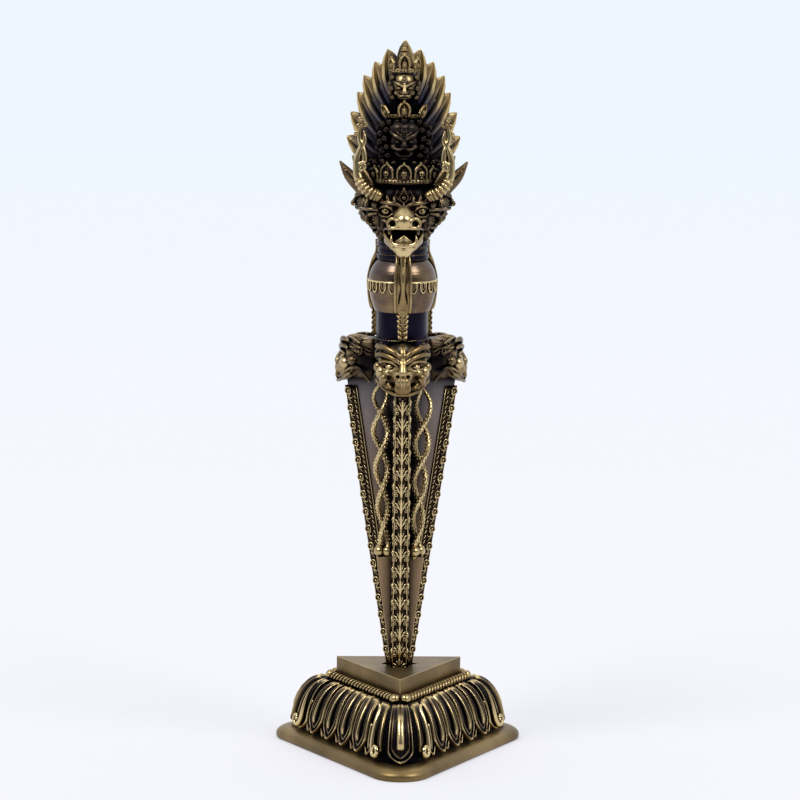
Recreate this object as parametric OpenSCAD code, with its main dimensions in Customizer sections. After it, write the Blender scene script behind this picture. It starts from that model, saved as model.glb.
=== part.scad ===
// Ritual dagger with a bull-headed hilt, standing in a three-cornered lotus stand.
// Millimetres, Z up. The origin is on the dagger's axis, in the face that the stand rests on.
// One corner of the stand and one vane of the blade point along -Y, to the viewer.

/* [Stand foot] */
// Distance from the axis to the centre of each rounded corner
foot_reach = 37.5; // [36:0.5:41]
// Radius of the rounded corners
foot_corner = 11; // [9.5:0.5:13]
// Height of the foot
foot_h = 4.6; // [4.4:0.1:6]
// Height of the foot's widest line
foot_lip_h = 1.5; // [1:0.1:2]
// Width of the foot's convex band
foot_band_w = 6.5; // [5:0.5:8]
// Width of the foot from its flat sides to its opening
foot_ring_w = 11; // [10:0.5:12]
// Thickness of the cover plate under the stand
cover_t = 2; // [1.6:0.1:2.4]
// Width of the ledge that the cover plate sits in
cover_ledge_w = 3.2; // [3:0.1:4]
// Clearance round the cover plate
cover_gap = 0.2; // [0.1:0.05:0.4]

/* [Lotus dome and petals] */
// Height of the dome above the foot
lotus_h = 18.4; // [16:0.2:21]
// Distance from the axis to the flat sides of the deck
deck_apothem = 16.2; // [15.6:0.1:17]
// Thickness of the dome's wall and deck
lotus_wall = 2.4; // [1.8:0.1:3]
// Petals along each side
petals_per_side = 4; // [3:1:4]
// Spacing of the petals at their tips
petal_pitch = 10.2; // [9.6:0.1:10.6]
// Width of a petal at its widest
petal_w = 9.4; // [8:0.1:9.5]
// Height of a petal above the dome
petal_h = 2.7; // [2:0.1:3]
// Width of the petal on each corner
corner_petal_w = 6.2; // [5:0.1:7]

/* [Rope moulding and platform] */
// Diameter of the rope moulding
rope_d = 3.2; // [2.8:0.1:3.3]
// Clearance between the rope and the platform's side
rope_gap = 0.5; // [0.4:0.05:0.7]
// Lobes of the rope along each side
rope_lobes = 24; // [16:1:30]
// Diameter of the ball at each end of a rope
rope_ball_d = 3.5; // [3.2:0.1:3.5]
// Length of each side of the platform
platform_side = 44.4; // [40:0.2:45]
// Height of the platform above the deck
platform_h = 7.8; // [6:0.2:10]
// Clearance between the dagger and the slot's sides
slot_gap = 0.35; // [0.25:0.05:0.5]
// Clearance between the dagger's edges and the slot's ends
slot_end_gap = 1.6; // [1:0.1:2]
// Radius of the clamping screws under the platform
screw_r = 1.5; // [1.2:0.1:1.7]
// Distance from the axis to the platform screws
screw_reach = 15; // [14:0.5:17]
// Length of thread of those screws in the platform
screw_bite = 5; // [3:0.5:6]

/* [Blade] */
// Length of the blade
blade_len = 127; // [100:1:150]
// Distance from the axis to a vane's edge where the rails end below
tip_reach = 2.6; // [2.4:0.1:3]
// Length of the bare tip below the rails
tip_h = 15.7; // [15:0.1:16.5]
// Reach of each edge at the top of the blade
top_reach = 22.4; // [21.6:0.1:23]
// Thickness of a vane
vane_t = 4.4; // [4:0.1:5]
// Width of the ornamented rail on each edge
rail_w = 5.6; // [5.2:0.1:6.2]
// Depth of the rail along the vane's sides
rail_depth = 5.2; // [4:0.1:6]
// Spacing of the scrolls along a rail
scroll_pitch = 6.05; // [5:0.05:8]
// Height of the ledge between the vanes above the tip
ledge_h = 64; // [50:1:75]

/* [Snakes] */
// Radius of a snake's body
snake_r = 0.95; // [0.8:0.05:1.05]
// Height of one full turn of a snake
snake_turn = 26.8; // [22:0.2:34]
// Radius of the pair's helix at the top
helix_top_r = 2.5; // [2:0.1:2.6]
// Radius of the pair's helix at the heads
helix_low_r = 1.3; // [1.2:0.05:1.4]

/* [Hilt] */
// Height of the collar that joins the makara heads
collar_h = 13.9; // [13:0.1:15]
// Radius of that collar
collar_r = 9.5; // [9.3:0.1:10.2]
// Radius of the shaft and of the vase's foot
shaft_r = 8.95; // [8:0.05:9.2]
// Height of the shaft
shaft_h = 9.6; // [8:0.1:12]
// Height of the vase
vase_h = 18; // [16:0.2:20]
// Greatest radius of the vase
vase_r = 11.75; // [11:0.05:12.5]
// Height of the neck rings
neck_h = 6.6; // [5.5:0.1:8]
// Radius of the neck rings
neck_r = 9; // [8.5:0.1:9.4]
// Width of a stave at its widest
stave_w = 6.2; // [5:0.1:7]
// Radius of the rod that holds the hilt together
rod_r = 1.4; // [1.2:0.1:1.5]

/* [Heads] */
// Height of the core that carries the heads
core_h = 59.5; // [59:0.1:60.5]
// Radius of the core at the bull's brow
core_r = 10.4; // [10.2:0.1:10.8]
// Reach of the feather halo's lowest tips to each side
halo_w = 19.4; // [18:0.1:20]
// Thickness of the halo at its root
halo_t = 4.6; // [3.6:0.1:5]
// Gap left where one cast piece is seated on another
seat_gap = 0.08; // [0.05:0.01:0.15]

/* [Hidden] */
$fn = 48;

front = 270;
right = 30;
left = 150;
corners = [front, right, left];
sides = [330, 210, 90];

foot_apothem = foot_reach / 2 + foot_corner;
open_apothem = foot_apothem - foot_ring_w;
open_corner = 3;
dome_base = foot_apothem - foot_band_w + 1;
dome_corner = 7;
deck_corner = 2.5;
deck_z = foot_h + lotus_h;
platform_z = deck_z + platform_h;
platform_apothem = platform_side / (2 * sqrt(3));
rope_apothem = platform_apothem + rope_gap + rope_d / 2;

socket_floor = 3.9;
rail_skin = 0.9;
scroll_r = 1.4;
vane_inset = rail_skin + scroll_r * 0.35;
// Half a vane's thickness where the bare tip begins, and the share of it left at the point
tip_half = vane_t * 0.36;
tip_share = 0.35;
tip_z = cover_t + socket_floor + 0.1;
blade_z = tip_z + blade_len;
rail_low = tip_z + tip_h;
ledge_z = tip_z + ledge_h;
collar_z = blade_z + collar_h;
shaft_z = collar_z + shaft_h;
vase_z = shaft_z + vase_h;
neck_z = vase_z + neck_h;
head_z = neck_z;

// How far the blade's edge reaches from the axis at height z
function edge_reach(z) =
    tip_reach + (top_reach - tip_reach) * (z - rail_low) / (blade_z - rail_low);
function z_at_reach(r) =
    rail_low + (blade_z - rail_low) * (r - tip_reach) / (top_reach - tip_reach);
function mix(a, b, t) = a + (b - a) * t;
function polar(r, az) = [r * cos(az), r * sin(az)];
function unit(v) = v / norm(v);

// Solid through rings of equal length, each turning anticlockwise about the way forward
module loft(rings) {
    n = len(rings[0]);
    last = len(rings) - 1;
    walls = [
        for (i = [0 : last - 1], j = [0 : n - 1])
            let (a = i * n + j, b = i * n + (j + 1) % n)
                each [[a, a + n, b], [b, a + n, b + n]]
    ];
    low = [for (j = [0 : n - 1]) j];
    high = [for (j = [n - 1 : -1 : 0]) last * n + j];
    polyhedron([for (r = rings) each r], concat(walls, [low, high]));
}

// Ring of n points round p, across direction t, with half-widths a and b
function ring(p, t, ref, a, b, n) =
    let (w = unit(t), u = unit(cross(ref, w)), v = cross(w, u))
        [for (j = [0 : n - 1]) p + u * a * cos(360 * j / n) + v * b * sin(360 * j / n)];

// Corner centres of a rounded triangle
function corner_at(apothem, corner, az) = polar(2 * (apothem - corner), az);

function tri_ring(apothem, corner, z, steps = 4) = [
    for (az = corners, j = [0 : steps])
        let (p = corner_at(apothem, corner, az) + polar(corner, az - 60 + 120 * j / steps))
            [p.x, p.y, z]
];

// Upright plate with a rounded triangle for its outline
module tri_plate(apothem, corner, low, high) {
    translate([0, 0, low]) linear_extrude(high - low) {
        polygon([
            for (az = corners, turn = [-60, 60])
                corner_at(apothem, corner, az) + polar(corner, az + turn)
        ]);
        for (az = corners) translate(corner_at(apothem, corner, az)) circle(corner);
    }
}

// Round blob and chains of blobs, for the cast figures
module ball(p, r) {
    translate(p) sphere(r, $fn = r > 3.5 ? 8 : r > 2 ? 6 : 5);
}

module link(p, r, q, s) {
    hull() {
        ball(p, r);
        ball(q, s);
    }
}

// Tapering chain of blobs: each entry is [point, radius]
module chain(stops) {
    for (i = [0 : len(stops) - 2])
        link(stops[i][0], stops[i][1], stops[i + 1][0], stops[i + 1][1]);
}

module both_sides() {
    children();
    mirror([1, 0, 0]) children();
}

module screw(p, up, head_r, head_h, shank_r, shank) {
    translate([p.x, p.y, up]) cylinder(r = head_r, h = head_h);
    translate([p.x, p.y, up + head_h]) cylinder(r = shank_r, h = shank);
}

/* Stand */

band_steps = 5;
corner_steps = 8;
opening_steps = 6;
// The foot's outline from its underside up: radius of its corners, then height
foot_profile = concat(
    [[foot_corner - 0.7, 0], [foot_corner, foot_lip_h]],
    [
        for (i = [1 : band_steps])
            let (t = 90 * i / band_steps)
                [
                    foot_corner - foot_band_w * (1 - cos(t)),
                    foot_lip_h + (foot_h - foot_lip_h) * sin(t)
                ]
    ]
);
cover_screw_r = 0.8;
cover_screw_l = foot_h - 1.2;
cover_screw_reach = 2 * open_apothem - open_corner + (cover_ledge_w - cover_gap) / 2;

module foot() {
    color("#6f5b38") difference() {
        loft([
            for (p = foot_profile)
                tri_ring(foot_reach / 2 + p.x, p.x, p.y, corner_steps)
        ]);
        foot_opening(0, foot_h + 1);
        foot_opening(cover_ledge_w, cover_t);
        for (az = corners) translate(polar(cover_screw_reach, az))
            cylinder(r = cover_screw_r + 0.05, h = cover_screw_l + 0.3);
    }
}

module foot_opening(grow, high) {
    loft([
        for (z = [-1, high])
            tri_ring(open_apothem + grow, open_corner + grow, z, opening_steps)
    ]);
}

cover_head_r = 1.3;
cover_head_h = 1;

module base_cover() {
    ledge = cover_ledge_w - cover_gap;
    color("#4a3f2c") difference() {
        tri_plate(open_apothem + ledge, open_corner + ledge, 0, cover_t);
        for (az = corners) translate(polar(cover_screw_reach, az)) translate([0, 0, -1]) {
            cylinder(r = cover_screw_r + 0.1, h = cover_t + 2);
            cylinder(r = cover_head_r + 0.1, h = cover_head_h + 1.1);
        }
    }
}

module cover_screws() {
    color("#8a7a55") for (az = corners)
        screw(
            polar(cover_screw_reach, az), 0.1, cover_head_r, cover_head_h,
            cover_screw_r, cover_screw_l - cover_head_h
        );
}

// The dome's wall at the share s of its height: its apothem and corner radius
function dome_swell(s) = sqrt(1 - s * s);
function dome_apothem(s) = mix(deck_apothem, dome_base, dome_swell(s));
function dome_corner_r(s) = mix(deck_corner, dome_corner, dome_swell(s));
dome_levels = [0, 0.06, 0.12, 0.3, 0.48, 0.65, 0.8, 0.91, 1];
cavity_levels = [0, 0.48, 0.8, 1];
cavity_low = 1;

module dome_form(inset) {
    top_inset = inset > 0 ? lotus_wall : 0;
    loft([
        for (s = inset > 0 ? cavity_levels : dome_levels)
            tri_ring(
                dome_apothem(s) - inset, max(dome_corner_r(s) - inset, 1),
                foot_h + s * (lotus_h - top_inset) - (inset > 0 && s == 0 ? cavity_low : 0)
            )
    ]);
}

slot_w = rail_w + 2 * slot_gap;
slot_reach = edge_reach(platform_z) + slot_end_gap;

module dagger_slot(low, high) {
    for (az = corners) rotate([0, 0, az]) translate([0, -slot_w / 2, low])
        cube([slot_reach, slot_w, high - low]);
}

module lotus_dome() {
    color("#3b3226") difference() {
        dome_form(0);
        dome_form(lotus_wall);
        dagger_slot(deck_z - lotus_wall - 1, deck_z + 1);
        for (az = corners) translate(polar(screw_reach, az))
            translate([0, 0, deck_z - lotus_wall - 1])
                cylinder(r = screw_r + 0.1, h = lotus_wall + 2);
    }
}

// A petal's outline across its width: raised rims, sunk field and a middle ridge
function petal_section(w, h) = [
    [-w, 0], [w, 0], [0.88 * w, 0.8 * h], [0.45 * w, 0.45 * h],
    [0.17 * w, h], [-0.17 * w, h], [-0.45 * w, 0.45 * h], [-0.88 * w, 0.8 * h]
];

// Share of its full width that a petal has at the share s of the dome's height
function petal_taper(s) = s < 0.2 ? 0.35 + 3 * s : 1 - 0.3 * pow((s - 0.2) / 0.8, 2);
petal_levels = [0.06, 0.12, 0.3, 0.48, 0.65, 0.8, 0.91];

// One petal that leans on the dome: at is its place along the side, reach its foothold
module petal(at, width, height, on_corner = false, rolled = false) {
    loft([
        for (s = petal_levels)
            let (
                swell = dome_swell(s),
                out = on_corner
                    ? 2 * dome_apothem(s) - dome_corner_r(s)
                    : dome_apothem(s),
                grow = on_corner
                    ? 2 * (dome_base - deck_apothem) - (dome_corner - deck_corner)
                    : dome_base - deck_apothem,
                n = unit([swell / grow, s / lotus_h]),
                curl = s < 0.2 ? (rolled ? 1.2 : s < 0.1 ? 0.9 : 0) : 0,
                lateral = at * mix(0.8, 1, swell),
                w = width / 2 * (rolled && s < 0.2 ? 0.85 : petal_taper(s))
            )
            [
                for (p = petal_section(w, height * mix(0.75, 1, swell)))
                    let (lift = p.y + seat_gap + curl)
                        [
                            out + n.x * lift,
                            lateral + p.x,
                            foot_h + s * lotus_h + n.y * lift
                        ]
            ]
    ]);
}

module petal_row(az) {
    color("#5d4d33") rotate([0, 0, az]) for (i = [0 : petals_per_side - 1])
        petal((i - (petals_per_side - 1) / 2) * petal_pitch, petal_w, petal_h);
}

module petals_left() {
    petal_row(sides[1]);
}

module petals_right() {
    petal_row(sides[0]);
}

module petals_back() {
    petal_row(sides[2]);
}

module corner_petals() {
    color("#7b6740") for (az = corners) rotate([0, 0, az])
        petal(0, corner_petal_w, petal_h, on_corner = true);
}

scroll_at = 25.4;
scroll_w = 4;

// Narrow leaf on each side of a corner, with its tip rolled outwards
module petal_scrolls() {
    color("#7b6740") for (az = sides, hand = [-1, 1]) rotate([0, 0, az])
        petal(hand * scroll_at, scroll_w, petal_h * 0.8, rolled = true);
}

lobe_steps = 4;
// Depth of the grooves between the rope's lobes
lobe_cut = 0.36;

module rope_moulding() {
    side = 2 * rope_apothem * sqrt(3);
    ball_in = rope_ball_d + 0.1;
    length = side - 2 * ball_in;
    lobe = length / rope_lobes;
    r = rope_d / 2;
    profile = concat(
        [[0, 0]],
        [
            for (i = [0 : rope_lobes * lobe_steps])
                [r - lobe_cut * (1 - abs(sin(180 * i / lobe_steps))), i * lobe / lobe_steps]
        ],
        [[0, length]]
    );
    color("#8c7748") for (az = sides)
        rotate([0, 0, az]) translate([rope_apothem, 0, deck_z + r + 0.02]) {
            rotate([-90, 0, 0]) translate([0, 0, -length / 2])
                rotate_extrude($fn = 24) polygon(profile);
            for (hand = [-1, 1])
                translate([0, hand * length / 2, (rope_ball_d - rope_d) / 2])
                    sphere(d = rope_ball_d, $fn = 24);
        }
}

module platform() {
    bevel = 0.4;
    color("#6f5d3c") difference() {
        translate([0, 0, deck_z]) linear_extrude(platform_h)
            polygon([
                for (az = corners, turn = [-30, 30])
                    polar(2 * platform_apothem - bevel, az)
                    + polar(bevel / 2, az + 3 * turn)
            ]);
        dagger_slot(deck_z - 1, platform_z + 1);
        for (az = corners) translate(polar(screw_reach, az)) translate([0, 0, deck_z - 1])
            cylinder(r = screw_r + 0.05, h = screw_bite + 1.2);
    }
}

module platform_screws() {
    head_h = 1.6;
    color("#8a7a55") for (az = corners)
        screw(
            polar(screw_reach, az), deck_z - lotus_wall - head_h, screw_r + 1.2, head_h,
            screw_r, lotus_wall + screw_bite
        );
}

socket_wall = 2.4;
socket_h = 10;
socket_r = tip_part(cover_t + socket_h) * norm([tip_reach - vane_inset, tip_half]) + slot_gap;

module tip_socket() {
    color("#5a4c33") difference() {
        translate([0, 0, cover_t]) cylinder(r = socket_r + socket_wall, h = socket_h);
        translate([0, 0, cover_t + socket_floor]) cylinder(r = socket_r, h = socket_h);
    }
}

/* Blade */

fill_share = 0.43;
// Height above the tip at which the grooves begin to fill
fill_low_h = 26;
// Height over which the fill begins and ends
ledge_slope = 0.4;
// Depth of the rod's hole in the blade
rod_sunk = 17.5;

// Ring of the blade's star: reach of the vanes, half their thickness, and the ridge between them
function star(z, reach, half, root, ridge) = [
    for (az = corners)
        each [
            for (p = [[root, -half], [reach, -half], [reach, half], [root, half], ridge])
                let (q = [p.x * cos(az) - p.y * sin(az), p.x * sin(az) + p.y * cos(az)])
                    [q.x, q.y, z]
        ]
];

// Bare groove: its bottom lies where the sides of two vanes meet
function bare_star(z, half) =
    let (bottom = half / tan(60))
        star(z, edge_reach(z) - vane_inset, half, bottom + 0.15, [bottom, half]);

// Share of its upper section that the bare tip keeps at height z
function tip_part(z) = mix(tip_share, 1, (z - tip_z) / tip_h);

function tip_star(z) =
    let (k = tip_part(z), bottom = k * tip_half / tan(60))
        star(z, k * (tip_reach - vane_inset), k * tip_half, bottom + 0.15 * k,
             [bottom, k * tip_half]);

// Filled groove: flat faces square to the vanes meet in a ridge
function filled_star(z) =
    let (face = fill_share * edge_reach(z))
        star(z, edge_reach(z) - vane_inset, vane_t / 2, face, [face, face * tan(60)]);

module blade() {
    fill_z = tip_z + fill_low_h;
    color("#57504a") difference() {
        loft([
            tip_star(tip_z), bare_star(rail_low, tip_half), bare_star(rail_low + 8, vane_t / 2),
            bare_star(fill_z, vane_t / 2), filled_star(fill_z + ledge_slope),
            filled_star(ledge_z), bare_star(ledge_z + ledge_slope, vane_t / 2),
            bare_star(blade_z, vane_t / 2)
        ]);
        translate([0, 0, blade_z - rod_sunk - 0.5])
            cylinder(r = rod_r + 0.1, h = rod_sunk + 1);
    }
}

rail_top = blade_z - 4.2;
// Reach at which the cheeks of two neighbouring rails just clear each other at the tip
cheek_root = rail_w / 2 / tan(60) + seat_gap;

// Capping on a vane's edge: a slab with cheeks down both sides, scrolls and a middle spine
module edge_rail(az) {
    drop = scroll_r * 0.35;
    first_z = rail_top - scroll_r - 0.3;
    last_z = z_at_reach(cheek_root + 2 * scroll_r);
    count = floor((first_z - last_z) / scroll_pitch);
    cheek = (rail_w - vane_t) / 2 - seat_gap;
    high = edge_reach(rail_top);
    fill_z = tip_z + fill_low_h;
    clear_z = z_at_reach((rail_depth + seat_gap) / (1 - fill_share));
    color("#8c7748") rotate([0, 0, az]) rotate([90, 0, 0]) {
        linear_extrude(rail_w - 0.8, center = true) polygon([
            [cheek_root, rail_low],
            [tip_reach - drop, rail_low],
            [high - drop, rail_top],
            [high - drop - rail_skin + seat_gap, rail_top],
            [cheek_root, z_at_reach(cheek_root + drop + rail_skin - seat_gap)]
        ]);
        linear_extrude(1.1, center = true) polygon([
            [tip_reach - drop - 0.4, rail_low],
            [tip_reach - 0.05, rail_low],
            [high - 0.05, rail_top],
            [high - drop - 0.4, rail_top]
        ]);
        for (hand = [-1, 1])
            translate([0, 0, hand * (vane_t / 2 + seat_gap + cheek / 2)])
                linear_extrude(cheek, center = true) {
                    polygon([
                        [cheek_root, rail_low],
                        [tip_reach - drop, rail_low],
                        [high - drop, rail_top],
                        [high - rail_depth, rail_top],
                        [edge_reach(clear_z) - rail_depth, clear_z],
                        [fill_share * edge_reach(fill_z) + seat_gap, fill_z]
                    ]);
                    for (i = [0 : count])
                        let (z = first_z - i * scroll_pitch)
                            translate([edge_reach(z) - scroll_r + 0.02, z])
                                circle(scroll_r, $fn = 20);
                }
    }
}

module edge_rail_front() {
    edge_rail(front);
}

module edge_rail_right() {
    edge_rail(right);
}

module edge_rail_left() {
    edge_rail(left);
}

/* Snakes */

snake_head_l = 8.6;
snake_low = ledge_z + 0.1 + snake_head_l * 0.55;
snake_high = blade_z - 0.1;
snake_rings = 17;

// The pair's middle runs down the groove and the helix closes at both ends
function pair_reach(z) = mix(6.3, 8.7, min(1, (z - ledge_z) / 52)) - 1.9 * tail_in(z);
function tail_in(z) = pow(max(0, 1 - (snake_high - z) / 9), 2);
function helix_r(z) =
    mix(helix_low_r, helix_top_r, min(1, (z - ledge_z) / 45)) * (1 - 0.55 * tail_in(z));
function body_r(z) = snake_r * mix(1, 0.72, tail_in(z));

// Centre of a snake's body: az is its groove, turn_z a height where it faces the viewer
function snake_at(z, az, turn_z) =
    let (
        c = polar(pair_reach(z), az),
        h = polar(helix_r(z), 270 + 360 * (z - turn_z) / snake_turn)
    )
    [c.x + h.x, c.y + h.y, z];

module snake(az, turn_z) {
    zs = [
        for (i = [0 : snake_rings]) mix(snake_low, snake_high, i / snake_rings)
    ];
    low = snake_at(snake_low, az, turn_z);
    out = polar(1, az);
    lean = [out.x * 0.35, out.y * 0.35, 0];
    head = [
        [0.02, 0.35], [0.14, 0.95], [0.34, 1.5], [0.55, 1.45], [0.8, 1.05], [0.97, 0.85]
    ];
    body = [
        for (z = zs)
            let (p = snake_at(z, az, turn_z), q = snake_at(z + 0.5, az, turn_z))
                ring(
                    p, z > snake_high - 0.2 ? [0, 0, 1] : q - p, [out.x, out.y, 0],
                    body_r(z), body_r(z), 6
                )
    ];
    jaw = [
        for (k = head)
            let (z = ledge_z + 0.1 + snake_head_l * 0.55 * k[0], s = 1 - k[0])
                ring(
                    [low.x - lean.x * s, low.y - lean.y * s, z], [0, 0, 1],
                    [out.x, out.y, 0], k[1], k[1] * 0.75, 6
                )
    ];
    color("#9c8550") loft(concat(jaw, body));
}

left_turn_z = 121;
right_turn_z = 116.7;
back_turn_z = 119;

module snake_left_a() {
    snake(sides[1], left_turn_z);
}

module snake_left_b() {
    snake(sides[1], left_turn_z + snake_turn / 2);
}

module snake_right_a() {
    snake(sides[0], right_turn_z);
}

module snake_right_b() {
    snake(sides[0], right_turn_z + snake_turn / 2);
}

module snake_back_a() {
    snake(sides[2], back_turn_z);
}

module snake_back_b() {
    snake(sides[2], back_turn_z + snake_turn / 2);
}

/* Makara heads: each is drawn pointing along +X at its own place, then turned */

module makara_collar() {
    color("#3b3430") difference() {
        translate([0, 0, blade_z]) cylinder(r = collar_r, h = collar_h);
        translate([0, 0, blade_z - 1]) cylinder(r = rod_r + 0.1, h = collar_h + 2);
    }
}

// Points of a makara are given from the collar's underside: outwards, sideways, upwards
module makara_head() {
    z = blade_z;
    intersection() {
        difference() {
            union() {
                hull() {
                    ball([9, 0, z + 7], 6);
                    ball([17.5, 4, z + 6], 4.6);
                    ball([17.5, -4, z + 6], 4.6);
                }
                hull() {
                    ball([10, 5.4, z + 11.2], 2.9);
                    ball([10, -5.4, z + 11.2], 2.9);
                    ball([17, 6.8, z + 10.8], 2.6);
                    ball([17, -6.8, z + 10.8], 2.6);
                }
                hull() {
                    ball([20, 0, z + 5.6], 4);
                    ball([24, 1.7, z + 3.6], 2.4);
                    ball([24, -1.7, z + 3.6], 2.4);
                }
                hull() {
                    ball([18, 3.4, z + 1.2], 3.4);
                    ball([18, -3.4, z + 1.2], 3.4);
                    ball([23.2, 0, z - 0.6], 2.8);
                }
                for (hand = [-1, 1]) {
                    chain([
                        [[22.6, 0, z + 9.2], 1.1], [[21, hand * 3.4, z + 10.9], 1.1],
                        [[18.6, hand * 6.6, z + 12.6], 1]
                    ]);
                    ball([21.2, hand * 4.2, z + 7.2], 1.6);
                    link([19.6, hand * 6, z + 3.6], 2.3, [21.4, hand * 3.6, z + 0.2], 1.6);
                    link([14.2, hand * 7.8, z + 7], 2, [14.4, hand * 7.8, z + 1.4], 1.4);
                }
            }
            translate([0, 0, z - 20]) cylinder(r = collar_r + seat_gap, h = 60);
            translate([-5, -vane_t / 2 - seat_gap, z - 20])
                cube([top_reach + 5, vane_t + 2 * seat_gap, 20 + seat_gap]);
            translate([-5, -rail_w, z - 20])
                cube([40, 2 * rail_w, rail_top - z + 20 + 0.1]);
            rotate([0, 0, 60 - 0.4]) translate([0, 0, z - 20]) cube([60, 60, 60]);
            rotate([0, 0, -60 + 0.4]) translate([0, -60, z - 20]) cube([60, 60, 60]);
        }
        translate([0, -20, z - 3.6]) cube([27.4, 40, collar_h + 3.4]);
    }
}

module makara_front() {
    color("#8c7748") rotate([0, 0, front]) makara_head();
}

module makara_right() {
    color("#6b5c42") rotate([0, 0, right]) makara_head();
}

module makara_left() {
    color("#6b5c42") rotate([0, 0, left]) makara_head();
}

/* Hilt */

module shaft() {
    color("#2e2a28") translate([0, 0, collar_z]) difference() {
        cylinder(r = shaft_r, h = shaft_h);
        translate([0, 0, -1]) cylinder(r = rod_r + 0.1, h = shaft_h + 2);
    }
}

vase_steps = 8;
vase_foot_r = shaft_r + 0.65;
vase_mouth_r = neck_r - 0.6;
// Share of the vase's height at which its belly is widest
belly_share = 0.58;

// The vase's wall as an arc from its foot to its belly and another up to its mouth
function vase_wall(grow) =
    let (
        low = acos(vase_foot_r / vase_r),
        high = acos(vase_mouth_r / vase_r),
        low_h = vase_h * belly_share,
        high_h = vase_h - low_h
    )
    [
        for (i = [-vase_steps : vase_steps])
            let (
                t = i / vase_steps,
                a = t < 0 ? low * t : high * t,
                h = t < 0 ? low_h * sin(a) / sin(low) : high_h * sin(a) / sin(high)
            )
            [vase_r * cos(a) + grow, low_h + h]
    ];

module vase() {
    bore_r = rod_r + 0.1;
    color("#6a6058") translate([0, 0, shaft_z]) rotate_extrude()
        polygon(concat([[bore_r, 0]], vase_wall(0), [[bore_r, vase_h]]));
}

module neck_rings() {
    third = neck_h / 3;
    color("#5f543c") translate([0, 0, vase_z]) difference() {
        union() {
            cylinder(r = neck_r - 0.7, h = neck_h);
            for (i = [0 : 2]) translate([0, 0, third * i + third * 0.12])
                cylinder(r = neck_r - (i == 1 ? 0.25 : 0), h = third * 0.76);
        }
        translate([0, 0, -1]) cylinder(r = rod_r + 0.1, h = neck_h + 2);
    }
}

rod_low = blade_z - rod_sunk;
rod_high = neck_z + 9;

module tie_rod() {
    color("#9a9a94") translate([0, 0, rod_low]) cylinder(r = rod_r, h = rod_high - rod_low);
}

stave_low = collar_z + 0.05;
stave_high = vase_z + 1.6;

// Strap from the collar over the vase's belly, seen from the side and then from the front
module stave(az) {
    belly_z = shaft_z + vase_h / 2;
    outer = vase_r + 1.7;
    half = stave_w / 2;
    color("#8c7748") difference() {
        intersection() {
            rotate([0, 0, az]) rotate([90, 0, 0]) linear_extrude(stave_w, center = true)
                polygon([
                    [6, stave_low], [shaft_r + 2.6, stave_low], [shaft_r + 3, shaft_z - 1.6],
                    [shaft_r + 3.8, shaft_z + 0.6], [outer, belly_z - 2], [outer, belly_z + 2],
                    [outer - 1.4, vase_z - 2.4], [neck_r + 1.5, stave_high], [6, stave_high]
                ]);
            rotate([0, 0, az]) translate([20, 0, 0]) rotate([90, 0, -90])
                linear_extrude(40, center = true) polygon([
                    [-half * 0.55, stave_low], [half * 0.55, stave_low],
                    [half * 0.75, shaft_z - 1], [half * 0.62, shaft_z + 1],
                    [half, belly_z - 4], [half * 0.96, belly_z + 1], [half * 0.72, stave_high],
                    [-half * 0.72, stave_high], [-half * 0.96, belly_z + 1],
                    [-half, belly_z - 4], [-half * 0.62, shaft_z + 1],
                    [-half * 0.75, shaft_z - 1]
                ]);
        }
        translate([0, 0, stave_low - 1]) cylinder(r = shaft_r + seat_gap, h = shaft_h + 1);
        translate([0, 0, vase_z]) cylinder(r = neck_r + seat_gap, h = neck_h);
        stave_bed();
    }
}

// The space of the vase, a seat's gap larger, which each stave is bedded on
module stave_bed() {
    translate([0, 0, shaft_z]) rotate_extrude()
        polygon(concat(
            [[0, -seat_gap], [vase_foot_r + seat_gap, -seat_gap]], vase_wall(seat_gap),
            [[vase_mouth_r + seat_gap, vase_h + seat_gap], [0, vase_h + seat_gap]]
        ));
}

module stave_front() {
    stave(front);
}

module stave_right() {
    stave(right);
}

module stave_left() {
    stave(left);
}

/* Heads: heights are given above the top of the neck rings */

core_profile = [
    [neck_r - 0.4, 0], [core_r - 1, 5], [core_r - 0.1, 12], [core_r, 21.5],
    [core_r - 2.2, 25.5], [6, 30], [5.9, 41], [4.7, 46], [4.1, 56]
];

module core_form(grow, extra = 0) {
    translate([0, 0, head_z]) rotate_extrude() polygon(concat(
        [[0, -extra]],
        [for (p = core_profile) [p.x + grow, p.y == 0 ? -extra : p.y]],
        [[1.4 + grow, core_h + grow], [0, core_h + grow]]
    ));
}

module head_core() {
    color("#2b2826") difference() {
        core_form(0);
        translate([0, 0, head_z - 1]) cylinder(r = rod_r + 0.1, h = rod_high - neck_z + 1.2);
    }
}

// Trims a cast figure to sit on the core
module on_core() {
    difference() {
        union() children();
        core_form(seat_gap, 10);
    }
}

function up(x, y, z) = [x, y, head_z + z];

lip_z = head_z + 5.3;

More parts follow.
